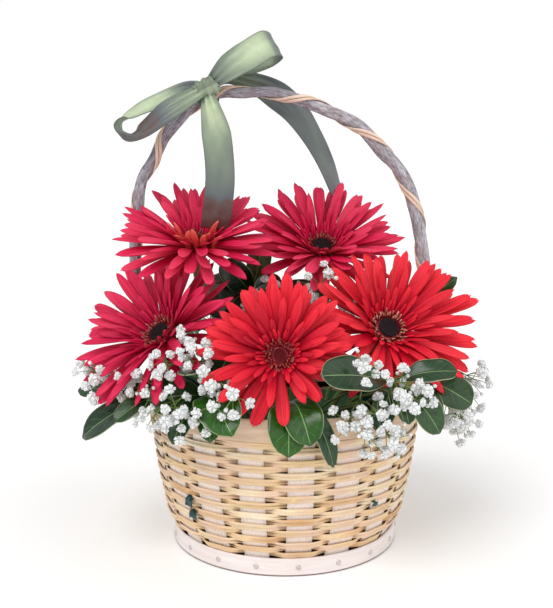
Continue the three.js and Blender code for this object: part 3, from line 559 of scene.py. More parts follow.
@dataclass(frozen=True)
class LeafLook:
    """Colours and gloss of one side of the leaves."""

    dark: Color
    fresh: Color
    shadow: Color
    pale: Color
    cream: Color
    rib: float
    veining: float
    margin: float
    plain: dict[str, float]
    vein_rows: float = 9.0
    vein_slant: float = 1.9


@dataclass(frozen=True)
class Grain:
    """Values of one even finish."""

    color: Color
    tint: Color
    spot: float
    spotting: float
    pore: float
    relief: float
    rise: float
    plain: dict[str, float]
    toned: Color | None = None


DASH_STRETCH = (26.0, 3.0, 1.0)
THREAD_STRETCH = (2.5, 95.0, 1.0)
SATIN_TINT = shade(0x6C706A)
SATIN_EDGE = shade(0x464E44)
# Satin colour run by tone: a painted red reflection of the flowers and painted shade at the low end, the
# ribbon's sage in the middle, and a painted highlight at the top.
SATIN_PAINTED_LIGHT = (
    (0, shade(0x562E2E)), (0.14, shade(0x5A4644)), (0.22, shade(0x5A6166)),
    (0.6, shade(0x82907C)), (1, shade(0xC2D1AC)),
)
WOODS = (
    Wood(
        "strip_wood",
        (
            (0, shade(0xDDAD7C)), (0.2, shade(0xEAC49A)), (0.45, shade(0xF2D2A0)),
            (0.62, shade(0xF0CDB4)), (0.8, shade(0xF6E0B8)), (1, shade(0xFCEED6)),
        ),
        shade(0xCCA072), shade(0xE8C8A4), across=22.0, along=0.8, depth=0.4, roughness=0.5,
    ),
    Wood(
        "stake_wood", ((0, shade(0xFCECE2)), (1, shade(0xFEF6F0))),
        shade(0x967668), shade(0xF8E2CE), across=24.0, along=1.0, depth=0.1, dashes=0.4, relief=0.3,
    ),
    # The band's foot value paints a thin shadow along its bottom edge.
    Wood(
        "band_wood", ((0, shade(0xF0E6E4)), (1, shade(0xF6EEEC))),
        shade(0x78625C), shade(0xE8D6D0), across=10.0, along=0.3, depth=0.14, foot=0.0013,
    ),
    Wood(
        "rim_wood", ((0, shade(0xE2C4A8)), (1, shade(0xEAD0B6))),
        shade(0xB68E6E), shade(0xD8B298), across=14.0, along=0.4, depth=0.45,
    ),
    Wood(
        "board_wood", ((0, shade(0xDEC4A6)), (1, shade(0xE6CEB2))),
        shade(0xB08C6C), shade(0xD2B496), across=4.0, along=0.3,
    ),
    Wood(
        "bark", ((0, shade(0xA4A2B2)), (0.5, shade(0xBEBAC4)), (1, shade(0xE2DADE))),
        shade(0x463A40), shade(0x8C7C7C), across=12.0, along=2.4, depth=0.8, spotting=0.4, spot=120.0,
        roughness=0.85, gloss=0.2, relief=0.9, rise=0.001,
    ),
    Wood(
        "cane", ((0, shade(0xE2BEAA)), (1, shade(0xF4DCCA))),
        shade(0xB08464), shade(0xECCCAC), across=14.0, along=0.5, roughness=0.5,
    ),
)
SCARLET = Petal(
    root=shade(0x900022), middle=shade(0xCE042E), tip=shade(0xF8303E),
    deep=shade(0x9E0026), bright=shade(0xFC4850), under=shade(0xEC767C),
)
CRIMSON = Petal(
    root=shade(0x8E0030), middle=shade(0xCE0E44), tip=shade(0xE8305A),
    deep=shade(0xA20036), bright=shade(0xF24A68), under=shade(0xE88090),
)
SALMON = Petal(
    root=shade(0xC42834), middle=shade(0xE65450), tip=shade(0xF4806C),
    deep=shade(0xD23C40), bright=shade(0xF88C76), under=shade(0xF49682),
)
LEAF_FACE = LeafLook(
    dark=shade(0x193421), fresh=shade(0x2A5A0C), shadow=shade(0x0F2314), pale=shade(0x8EAC74),
    cream=shade(0xCED0A0), rib=0.035, veining=0.14, margin=0.6,
    plain={"Roughness": 0.28, "Coat Weight": 0.22, "Coat Roughness": 0.18, "Specular IOR Level": 0.42},
)
LEAF_UNDER = LeafLook(
    dark=shade(0x5C7C58), fresh=shade(0x78965C), shadow=shade(0x4A6848), pale=shade(0xA4BC8A),
    cream=shade(0xBEC896), rib=0.07, veining=0.4, margin=0.4,
    plain={"Roughness": 0.55, "Specular IOR Level": 0.35},
)
GRAINS = {
    "nail_metal": Grain(
        shade(0xD4CED0), shade(0x9E9696), 900.0, 0.5, 2400.0, 0.3, 0.0002,
        {"Metallic": 0.6, "Roughness": 0.4},
    ),
    "liner_film": Grain(
        shade(0x1C4C4C), shade(0x103032), 60.0, 0.6, 240.0, 0.5, 0.0012,
        {"Roughness": 0.34, "Specular IOR Level": 0.5},
    ),
    "floral_foam": Grain(
        shade(0x285C36), shade(0x183E24), 120.0, 0.7, 1800.0, 0.8, 0.0008, {"Roughness": 0.95},
    ),
    "eye_dark": Grain(
        shade(0x100814), shade(0x08040C), 700.0, 0.7, 2600.0, 0.6, 0.0004, {"Roughness": 0.85},
        shade(0x7C001A),
    ),
    "stamen_red": Grain(
        shade(0x96061E), shade(0x680218), 800.0, 0.5, 2600.0, 0.3, 0.0002, {"Roughness": 0.5},
        shade(0xF8BEA0),
    ),
    "stem_green": Grain(
        shade(0x688C46), shade(0x4E7038), 90.0, 0.6, 900.0, 0.4, 0.0005, {"Roughness": 0.55},
        shade(0x869654),
    ),
    # The florets' small emission is a painted glow standing in for light through their thin petals; their
    # toned colour paints shade in their hollows.
    "floret_white": Grain(
        shade(0xFAFAFA), shade(0xD4D7E0), 620.0, 0.6, 1300.0, 0.8, 0.0006,
        {"Roughness": 0.75, "Emission Color": (1.0, 1.0, 1.0, 1.0), "Emission Strength": 0.03},
        shade(0xB0B8AC),
    ),
    "floor_pale": Grain(
        shade(0xFCFCFC), shade(0xFAFAFA), 3.0, 0.2, 40.0, 0.0, 0.0001,
        {"Roughness": 0.9, "Emission Color": (1.0, 1.0, 1.0, 1.0), "Emission Strength": 0.05},
    ),
}


def build_palette() -> Palette:
    """Builds every finish and returns them."""
    palette = Palette()
    for look in WOODS:
        palette.wood(look)
    for name, look in (("scarlet", SCARLET), ("crimson", CRIMSON), ("salmon", SALMON)):
        palette.petal(f"petal_{name}", look, underside=False)
        palette.petal(f"petal_{name}_under", look, underside=True)
    palette.leaf("leaf_face", LEAF_FACE)
    palette.leaf("leaf_under", LEAF_UNDER)
    palette.satin()
    for name, look in GRAINS.items():
        palette.grain(name, look)
    return palette


class Piece:
    """One piece in the making. Its mesh is in millimetres until it is set down."""

    def __init__(self, name: str, owner: str = "") -> None:
        """Starts an empty piece.

        Args:
            name: The piece's name in the scene.
            owner: The plant or part that it belongs to, where that has another name.
        """
        self.name = name
        self.owner = owner or name
        self.bm = bmesh.new()
        self.uv = self.bm.loops.layers.uv.new("UVMap")
        self.tone = self.bm.verts.layers.float.new("tone")

    def lay(
        self, across: int, along: int, rule: Rule, tone: Tone = 0.5, size: tuple[float, float] = (1.0, 1.0),
        shift: float = 0.0, material: int = 0,
    ) -> Faces:
        """Lays a grid of faces by a rule.

        Args:
            across: Faces across it.
            along: Faces along it.
            rule: Gives the place for two shares, across and along.
            tone: Its tone, or a rule for it.
            size: What the map counts across and along.
            shift: How far the map is moved, so that like pieces differ in grain.
            material: Number of its finish.

        Returns:
            The new faces.
        """
        corners = bmesh.ops.create_grid(
            self.bm, x_segments=across, y_segments=along, size=1, calc_uvs=True,
        )["verts"]
        for corner in corners:
            u, v = (corner.co.x + 1) / 2, (corner.co.y + 1) / 2
            corner.co = rule(u, v)
            corner[self.tone] = tone(u, v) if callable(tone) else tone
        faces = list({face: None for corner in corners for face in corner.link_faces})
        for face in faces:
            face.smooth = True
            face.material_index = material
            for loop in face.loops:
                spot = loop[self.uv].uv
                loop[self.uv].uv = (spot.x * size[0] + shift, spot.y * size[1] + 7 * shift)
        return faces

    def blade(self, thickness: float, back: int, *laid: Any, **how: Any) -> None:
        """Lays a grid and gives it a thickness below its face.

        Args:
            thickness: In millimetres.
            back: Number of the finish on its underside.
            laid: What lay takes.
            how: What lay takes by name.
        """
        for face in self.thicken(self.lay(*laid, **how), thickness):
            face.material_index = back

    def thicken(self, faces: Faces, thickness: float) -> Faces:
        """Gives faces a thickness on the side away from their normals and returns the new faces."""
        for face in faces:
            face.normal_update()
        for corner in {corner: None for face in faces for corner in face.verts}:
            corner.normal_update()
        made = bmesh.ops.solidify(self.bm, geom=faces, thickness=thickness)["geom"]
        return [element for element in made if isinstance(element, bmesh.types.BMFace)]

    def weld(self, faces: Faces) -> Faces:
        """Joins the corners of faces that meet and returns the faces that are left."""
        corners = list({corner: None for face in faces for corner in face.verts})
        bmesh.ops.remove_doubles(self.bm, verts=corners, dist=WELD)
        return [face for face in faces if face.is_valid]

    def wrap(self, *laid: Any, **how: Any) -> None:
        """Lays a grid whose sides meet, so that it is a tube, closes its ends and faces it outward."""
        faces = self.weld(self.lay(*laid, **how))
        material = faces[0].material_index
        rims = list({edge: None for face in faces for edge in face.edges if edge.is_boundary})
        if rims:
            caps = bmesh.ops.holes_fill(self.bm, edges=rims, sides=0)["faces"]
            for cap in caps:
                cap.material_index = material
            faces += caps
        bmesh.ops.recalc_face_normals(self.bm, faces=faces)

    def sleeve(self, thickness: float, *laid: Any, **how: Any) -> None:
        """Lays a grid whose sides meet, with open ends, and gives it a thickness in millimetres."""
        self.thicken(self.weld(self.lay(*laid, **how)), thickness)

    def tube(self, line: Line, width: Callable[[float], float], across: int, along: int, **how: Any) -> None:
        """Lays a round tube along a line.

        Args:
            line: Its middle line.
            width: Gives its radius at a share of its length.
            across: Faces round it.
            along: Faces along it.
            how: What lay takes by name.
        """
        chord = line.points[-1] - line.points[0]
        axis = min((Vector((1, 0, 0)), BACK, UP), key=lambda side: abs(chord.dot(side)))

        def rule(u: float, v: float) -> Vector:
            share = line.share_at(v)
            ahead = line.along(share)
            side = ahead.cross(axis).normalized()
            over = side.cross(ahead)
            turn = FULL_TURN * u
            return line.at(share) + (side * math.cos(turn) + over * math.sin(turn)) * width(v)

        self.wrap(across, along, rule, **how)

    def add_copy(self, shape: Mesh, place: Matrix) -> None:
        """Adds a copy of a small mesh at a place."""
        copied = shape.copy()
        copied.transform(place)
        self.bm.from_mesh(copied)
        bpy.data.meshes.remove(copied)

    def to_mesh(self, name: str) -> Mesh:
        """Returns the piece's mesh and lets its working copy go."""
        mesh = bpy.data.meshes.new(name)
        self.bm.to_mesh(mesh)
        self.bm.free()
        return mesh


class Thicket:
    """What already stands in place, so that later blades and florets are laid clear of it."""

    MARGIN = 0.25
    TRIAL = (2, 6)

    def __init__(self) -> None:
        """Starts with nothing in place."""
        self.stands: list[tuple[str, BVHTree]] = []

    def plant(self, piece: Piece) -> None:
        """Notes a finished piece."""
        self.stands.append((piece.owner, BVHTree.FromBMesh(piece.bm)))

    def trial(self, rule: Rule, start: float) -> BVHTree:
        """Returns a coarse blade laid by a rule from a share of its length on."""
        bm = bmesh.new()
        across, along = self.TRIAL
        for corner in bmesh.ops.create_grid(bm, x_segments=across, y_segments=along, size=1)["verts"]:
            corner.co = rule((corner.co.x + 1) / 2, start + (1 - start) * (corner.co.y + 1) / 2)
        tree = BVHTree.FromBMesh(bm, epsilon=self.MARGIN)
        bm.free()
        return tree

    def crosses(self, tree: BVHTree, owner: str) -> bool:
        """True where a trial blade crosses what stands there and isn't the owner's own."""
        return any(name != owner and stand.overlap(tree) for name, stand in self.stands)

    def is_near(self, spot: Vector, reach: float, owner: str) -> bool:
        """True where something that isn't the owner's own lies within a reach of a spot."""
        others = (stand for name, stand in self.stands if name != owner)
        return any(stand.find_nearest(spot, reach)[0] is not None for stand in others)


def tilts() -> list[tuple[int, int]]:
    """Returns tilts in degrees, small ones first, that a blade tries until it is clear."""
    found = [(0, 0)]
    for step in range(4, 33, 4):
        found += [(step, 0), (-step, 0), (0, step), (0, -step)]
        found += [(step, step), (-step, step), (step, -step), (-step, -step)]
    return found


TILTS = tilts()


def bent_clear(
    thicket: Thicket, owner: str, make: Maker, sisters: list[BVHTree], start: float,
) -> Rule | None:
    """Finds a tilt at which a blade is clear.

    Args:
        thicket: What stands in place.
        owner: The plant that the blade belongs to.
        make: Gives the blade's rule for a lift and a sway in degrees and a size.
        sisters: The owner's blades so far, which the new one joins.
        start: Share of its length from which it is tested.

    Returns:
        The blade's rule. One that only crosses a sister comes second, and None means that it is blocked.
    """
    for size in (1, 0.85, 0.7):
        crossing = None
        for lift, sway in TILTS:
            rule = make(lift, sway, size)
            tree = thicket.trial(rule, start)
            if thicket.crosses(tree, owner):
                continue
            if not any(sister.overlap(tree) for sister in sisters):
                sisters.append(tree)
                return rule
            crossing = crossing or (rule, tree)
        if crossing:
            sisters.append(crossing[1])
            return crossing[0]
    return None


def squared(turn: float, power: float) -> tuple[float, float]:
    """Returns cosine and sine drawn out towards a square with round corners."""
    parts = (math.cos(turn), math.sin(turn))
    return tuple(math.copysign(abs(part) ** power, part) for part in parts)


@dataclass
class Part:
    """Part of the arrangement, with every finish and what already stands in place."""

    palette: Palette
    thicket: Thicket

    def set_down(self, piece: Piece, finishes: Sequence[str], slot: str, node: str) -> Object:
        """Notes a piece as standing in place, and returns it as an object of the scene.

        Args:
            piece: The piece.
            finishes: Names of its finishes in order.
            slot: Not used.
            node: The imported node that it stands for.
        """
        self.thicket.plant(piece)
        bmesh.ops.scale(piece.bm, vec=(MM, MM, MM), verts=piece.bm.verts)
        mesh = piece.to_mesh(piece.name)
        for finish in finishes:
            mesh.materials.append(self.palette.made[finish])
        made = add_object(piece.name, mesh)
        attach(made, "root")
        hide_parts(node)
        LOG.info("%s: %d faces", piece.name, len(mesh.polygons))
        return made


@dataclass(frozen=True)
class Hoop:
    """Flat wooden hoop: its radii and heights, and how far it strays from a true circle."""

    inner: float
    outer: float
    bottom: float
    top: float
    stray: float = 0.0


@dataclass
class Basket(Part):
    """Round split-wood basket: base band and board, stakes, twenty woven strips, hoops, liner and foam."""

    band: Hoop = Hoop(80.5, 82.5, 0, 12.5)
    inner_hoop: Hoop = Hoop(94.4, 97.6, 99, 112)
    rim: Hoop = Hoop(99, 101.2, 98.6, 114, stray=0.5)
    nail_height: float = 6.2
    nail: Profile = (
        (0, 0.0, 0.85), (0.35, 1.1, 0.8), (0.6, 1.65, 0.5), (0.8, 1.95, 0.05), (1, 1.95, -0.8),
    )
    stakes: int = 18
    first_turn: float = math.radians(6.1)
    stake_width: float = 18.2
    stake_bottom: float = 1.0
    stake_height: float = 111.5
    splint: float = 1.2
    wall_run: Stations = ((1, 78.6), (12.9, 78.7), (23.65, 84.6), (55.6, 91.2), (98.2, 97.0), (112.5, 97.2))
    weave_offset: float = 1.5
    rows: int = 20
    cad_rows: int = 8
    weave_bottom: float = 13.0
    weave_top: float = 98.2
    cup: Profile = (
        (0, 0.0, 6.4), (0.2, 72.0, 6.4), (0.24, 73.5, 8.0), (0.3, 77.0, 16.0), (0.42, 81.2, 28.0),
        (0.65, 87.4, 56.0), (0.88, 92.2, 92.0), (1, 93.0, 108.0),
    )
    film: float = 0.3
    leg_out: float = 76.2
    leg_low: float = 22.0
    leg_spread: float = 12.2
    leg_tall: float = 76.0
    leg_room: float = 7.2
    scraps: tuple[tuple[float, ...], ...] = (
        (-44.5, 47.6, 7.5, 7.0), (-43.2, 38.4, 7.5, 6.0), (40.2, 47.7, 5.0, 3.4),
    )
    foam_top: float = 94.0

    def wall(self, z: float) -> float:
        """Returns the distance of the stakes' middle from the axis at a height."""
        for (z0, r0), (z1, r1) in zip(self.wall_run, self.wall_run[1:]):
            if z <= z1:
                return r0 + (r1 - r0) * (z - z0) / (z1 - z0)
        return self.wall_run[-1][1]

    def on_stake(self, k: int, out: float, side: float, z: float) -> Vector:
        """Returns the point out along a stake's middle line and sideways from it."""
        turn = self.first_turn + k * FULL_TURN / self.stakes
        sine, cosine = math.sin(turn), math.cos(turn)
        return Vector((out * sine + side * cosine, side * sine - out * cosine, z))

    def add_hoop(self, piece: Piece, hoop: Hoop, tone: float) -> None:
        """Adds a flat wooden hoop of a tone to a piece."""
        middle, half = (hoop.inner + hoop.outer) / 2, (hoop.outer - hoop.inner) / 2
        level, tall = (hoop.bottom + hoop.top) / 2, (hoop.top - hoop.bottom) / 2

        def rule(u: float, v: float) -> Vector:
            turn = FULL_TURN * v
            out, up = squared(FULL_TURN * u, 0.35)
            stray = hoop.stray * noise.noise(around(turn, 2, level))
            lift = 0.5 * hoop.stray * noise.noise(around(turn, 3, -level))
            radius = middle + half * out + stray * (0.35 + 0.1 * up)
            return Vector((radius * math.sin(turn), -radius * math.cos(turn), level + tall * up + lift * up))

        piece.wrap(16, 144, rule, tone=tone, size=(0.4 * tall, 0.2 * math.pi * middle))

    def nail_rule(self, k: int) -> Rule:
        """Returns the rule of the domed nail head at stake k."""
        radii, crown = split(self.nail)

        def rule(u: float, v: float) -> Vector:
            turn = FULL_TURN * u
            radius = max(run(radii, v), 0.0)
            out = self.band.outer + run(crown, v)
            return self.on_stake(k, out, radius * math.cos(turn), self.nail_height + radius * math.sin(turn))

        return rule

    def build_band(self) -> None:
        """Foot hoop with its nail heads."""
        piece = Piece("basket_base_band")
        self.add_hoop(piece, self.band, 0.4)
        for k in range(self.stakes):
            piece.wrap(14, 7, self.nail_rule(k), material=1)
        self.set_down(piece, ("band_wood", "nail_metal"), "band_wood", "base_band")

    def stake_rule(self, k: int, wide: float, lean: float) -> Rule:
        """Returns the rule of one stake.

        Args:
            k: Its number.
            wide: Its width.
            lean: How far its top strays to one side and its foot to the other.
        """
        def rule(u: float, v: float) -> Vector:
            z = self.stake_bottom + self.stake_height * v
            side = (u - 0.5) * wide + lean * (v - 0.5)
            crown = 0.5 * (1 - (2 * u - 1) ** 2)
            out = self.wall(z) + self.splint / 2 - 0.35 + crown
            return self.on_stake(k, out, side, z)

        return rule

    def build_stakes(self) -> None:
        """Flat upright stakes and the inner hoop that they are pinned to."""
        piece = Piece("basket_stakes")
        chance = Random(3)
        self.add_hoop(piece, self.inner_hoop, 0.6)
        for k in range(self.stakes):
            wide = self.stake_width * chance.uniform(0.94, 1.04)
            rule = self.stake_rule(k, wide, chance.uniform(-0.8, 0.8))
            look = {"tone": chance.random(), "size": (wide / 10, 11.2), "shift": chance.uniform(0, 40)}
            piece.blade(self.splint, 0, 6, 34, rule, **look)
        self.set_down(piece, ("stake_wood",), "stake_wood", "stake_cage")

    def strip_line(self, row: int, level: float, chance: Random) -> Line:
        """Returns the middle line of a strip, outside every other stake and inside the rest.

        Args:
            row: Its number from the bottom.
            level: Its height.
            chance: Draws how far it strays from that height at each stake.
        """
        half_flat = self.stake_width / 2 + 0.6
        points = []
        for k in range(self.stakes):
            over = (row + k) % 2 == 0
            z = level + chance.uniform(-0.4, 0.4)
            for side, more in ((-half_flat, 0.0), (0, 0.5), (half_flat, 0.0)):
                offset = self.weave_offset + more if over else -self.weave_offset
                points.append(self.on_stake(k, self.wall(level) + offset, side, z))
        return Line(points, closed=True)

    def build_strip(self, row: int) -> None:
        """One flat strip over and under the stakes. Rows count from the bottom."""
        chance = Random(100 + row)
        pitch = (self.weave_top - self.weave_bottom) / self.rows
        level = self.weave_bottom + (row + 0.5) * pitch
        line = self.strip_line(row, level, chance)
        lean = (self.wall(level + 1) - self.wall(level - 1)) / 2
        start = (row * 5 % self.stakes) / self.stakes
        base = chance.uniform(0.1, 0.95)

        def rule(u: float, v: float) -> Vector:
            share = (v + start) % 1.0
            here = line.at(share)
            flat = Vector((here.x, here.y, 0))
            inside = flat.length < self.wall(level)
            wander = 0.5 + 0.5 * math.cos(math.pi * (self.stakes * share - row % 2 - 1 / 3))
            tall = pitch * (0.5 + 0.07 * wander)
            thick = self.splint / 2 * (0.85 if inside else 1.0)
            out, up = squared(FULL_TURN * u, 0.6)
            rough = 0.1 * noise.noise(Vector((here.x / 7, here.y / 7, row * 3.1 + 2 * u)))
            return here + flat.normalized() * (thick * out + lean * tall * up + rough) + UP * (tall * up)

        def tone(u: float, v: float) -> float:
            return clamped(base + 0.55 * noise.noise(around(FULL_TURN * v, 3, row * 1.7)))

        piece = Piece(f"basket_strip_{row + 1:02d}")
        size = (1.2, 0.2 * math.pi * self.wall(level))
        piece.wrap(10, 12 * self.stakes, rule, tone=tone, size=size, shift=chance.uniform(0, 40))
        node = f"weaver_row_{row * self.cad_rows // self.rows + 1:02d}"
        self.set_down(piece, ("strip_wood",), "strip_wood", node)

    def build_rim(self) -> None:
        """Outer rim hoop."""
        piece = Piece("basket_rim_hoop")
        self.add_hoop(piece, self.rim, 0.5)
        self.set_down(piece, ("rim_wood",), "rim_wood", "rim_hoop")

    def build_liner(self) -> None:
        """Crinkled film cup, drawn in beside the handle's legs, with scraps that show through the weave."""
        piece = Piece("basket_liner")
        radii, heights = split(self.cup)

        def rule(u: float, v: float) -> Vector:
            turn = FULL_TURN * u
            out, z = max(run(radii, v), 0.0), run(heights, v)
            beside_leg = abs(math.cos(turn))
            leg = self.leg_out + self.leg_spread * (z - self.leg_low) / self.leg_tall - self.leg_room
            if beside_leg < 0.12 and z > 20:
                out = min(out, leg + (out - leg) * clamped((beside_leg - 0.08) / 0.04))
            place = around(turn, 7, z / 11)
            crinkle = (noise.noise(place) - 0.6) * min(out / 40, 1.0)
            ragged = 2.2 * noise.noise(place * 1.7) if v > 0.97 else 0.0
            out += 1.1 * crinkle
            return Vector((-out * math.sin(turn), -out * math.cos(turn), z + ragged + 0.3))

        piece.sleeve(self.film, 120, 40, rule, size=(20, 12))
        for turn, z, wide, tall in self.scraps:
            self.add_scrap(piece, math.radians(turn), z, wide, tall)
        self.set_down(piece, ("liner_film",), "liner_film", "liner")

    def add_scrap(self, piece: Piece, turn: float, z: float, wide: float, tall: float) -> None:
        """Adds a crumpled scrap of film that pokes out between two strips.

        Args:
            piece: The liner.
            turn: Where it is round the basket.
            z: Its height.
            wide: Its width.
            tall: How far it stands out and up.
        """
        out_way = Vector((math.sin(turn), -math.cos(turn), 0))
        side_way = around(turn)

        def rule(u: float, v: float) -> Vector:
            rough = noise.noise(Vector((u * 3.1, v * 3.1, z)))
            out = self.wall(z) - 2 + 6.4 * min(1.0, 3 * v) + 1.4 * rough
            side = (u - 0.5) * wide * (0.75 + 0.25 * v) + 1.2 * rough
            return out_way * out + side_way * side + UP * (z + tall * (0.5 - v) + 1.5 * rough)

        piece.blade(self.film, 0, 8, 8, rule)

    def finish_core(self) -> None:
        """Finishes the base board and the foam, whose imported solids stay."""
        for name, finish in (("base_board", "board_wood"), ("foam", "floral_foam")):
            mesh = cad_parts[name].data
            mesh.materials.clear()
            mesh.materials.append(self.palette.made[finish])

    def build(self) -> None:
        """Builds the basket from its foot up."""
        self.build_band()
        self.build_stakes()
        for row in range(self.rows):
            self.build_strip(row)
        self.build_rim()
        self.build_liner()
        self.finish_core()


@dataclass
class Handle(Part):
    """Branch handle with its bark, a twig stub and the split cane wound round it."""

    leg: Stations = ((76.2, 22), (88.4, 98), (88.4, 113))
    arch: Stations = (
        (-93.5, 129), (-104, 158), (-108, 190), (-108, 214), (-106.1, 235), (-101.9, 262.5), (-93, 277),
        (-85.7, 291.7), (-76.3, 302.8), (-65.6, 313.9), (-45, 322.9), (-29.6, 322.9), (-11.3, 323.6),
        (4.2, 320), (26.8, 311.8), (52.3, 300), (67.5, 284), (80.5, 270.6), (87.9, 258), (95.7, 230.7),
        (100.7, 200.4), (103, 172), (99.5, 148), (92, 127),
    )
    girth: Stations = (
        (0, 4.6), (0.2, 4.3), (0.3, 4.0), (0.4, 4.1), (0.49, 3.7), (0.57, 4.3), (0.66, 4.6), (0.8, 4.6),
        (0.9, 4.3), (1, 4.6),
    )
    burls: Stations = ((0.31, 0.7), (0.41, 0.9), (0.63, 0.8), (0.69, 1.0), (0.78, 0.7))
    burl_reach: float = 7.0
    twig_root: Triple = (92.4, -3.2, 254)
    twig_tip: Triple = (84.4, 1.4, 255.5)
    twig_girth: Stations = ((0, 2.6), (0.5, 1.9), (0.85, 1.45), (1, 0.9))
    cane_start: float = 128.0
    cane_pitch: float = 57.0
    cane_radius: float = 5.35
    cane_thickness: float = 0.7
    strand_offset: float = 1.3
    strand_width: float = 2.3
    line: Line = field(init=False)

    def __post_init__(self) -> None:
        """Draws the middle line from the left foot over the arch to the right foot."""
        points = [(-x, 0, z) for x, z in self.leg]
        points += [(x, 0, z) for x, z in self.arch]
        points += [(x, 0, z) for x, z in reversed(self.leg)]
        self.line = Line(points)

    def bark_rule(self, u: float, v: float) -> Vector:
        """Returns the bark's place, with its lengthwise furrows, creases and burls."""
        line = self.line
        share = line.share_at(v)
        rise = line.along(share).cross(BACK)
        turn = FULL_TURN * u
        far = v * line.length
        spot = around(turn + far / 90)
        furrow = noise.noise(spot * 3.4 + UP * far / 16)
        crease = abs(noise.noise(spot * 6.5 + UP * far / 11 + BACK * 9))
        burl = sum(
            size * math.exp(-(((v - place) * line.length / self.burl_reach) ** 2))
            for place, size in self.burls
        )
        lump = 0.35 * noise.noise(spot + UP * far / 28)
        swell = 0.35 * burl * (1 + 0.8 * math.cos(turn * 2 + v * 40))
        out = run(self.girth, v) + 0.28 * furrow - 0.3 * crease + lump + swell
        return line.at(share) + (rise * math.cos(turn) + BACK * math.sin(turn)) * out

    def build_branch(self) -> None:
        """Bark and a broken twig."""
        def tone(u: float, v: float) -> float:
            return 0.2 + 0.7 * v + 0.4 * noise.noise(Vector((v * 25, u * 2, 4)))

        piece = Piece("handle_bark")
        piece.wrap(32, 300, self.bark_rule, tone=tone, size=(3.0, 70.0))
        root, tip = Vector(self.twig_root), Vector(self.twig_tip)
        twig = Line((root, root.lerp(tip, 0.5) + UP * 0.4, tip))
        piece.tube(twig, lambda v: run(self.twig_girth, v), 12, 10, tone=0.4)
        self.set_down(piece, ("bark",), "bark", "handle_branch")

    def strand_rule(self, strand: int) -> Rule:
        """Returns the rule of a strand of cane, which is -1 or 1 for its side of the winding's middle."""
        line = self.line
        travel = line.length - 2 * self.cane_start
        circle = FULL_TURN * self.cane_radius
        slope = math.hypot(self.cane_pitch, circle)

        def rule(u: float, v: float) -> Vector:
            far = self.cane_start + travel * v
            share = line.share_at(far / line.length)
            ahead = line.along(share)
            rise = ahead.cross(BACK)
            turn = FULL_TURN * far / self.cane_pitch
            out = rise * math.cos(turn) + BACK * math.sin(turn)
            sweep = BACK * math.cos(turn) - rise * math.sin(turn)
            across = sweep * (self.cane_pitch / slope) - ahead * (circle / slope)
            x = 1 - 2 * u
            stray = 0.35 * noise.noise(Vector((far / 21, strand, 1)))
            side = strand * self.strand_offset + stray + x * self.strand_width / 2
            radius = run(self.girth, share) + 1.15 - 0.3 * x * x - 0.05 * side * side
            return line.at(share) + out * radius + across * side

        return rule

    def build_cane(self) -> None:
        """Two strands of split cane wound side by side."""
        piece = Piece("handle_split_cane")
        for strand, tone in ((-1, 0.25), (1, 0.75)):
            rule = self.strand_rule(strand)
            piece.blade(self.cane_thickness, 0, 5, 200, rule, tone=tone, size=(0.3, 70.0))
        self.set_down(piece, ("cane",), "cane", "handle_cane")

    def build(self) -> None:
        """Builds the branch and its cane."""
        self.build_branch()
        self.build_cane()


@dataclass(frozen=True)
class Strip:
    """One free stretch of the bow.

    Attributes:
        name: Its name in the scene.
        stations: Places of its middle line, each with the direction and width across it there.
        tones: Its run of tones along it, which paints highlights, shade and a red reflection of the flowers.
        cup: How far its middle stands out from its edges.
    """

    name: str
    stations: tuple[tuple[Triple, Triple], ...]
    tones: Stations
    cup: float


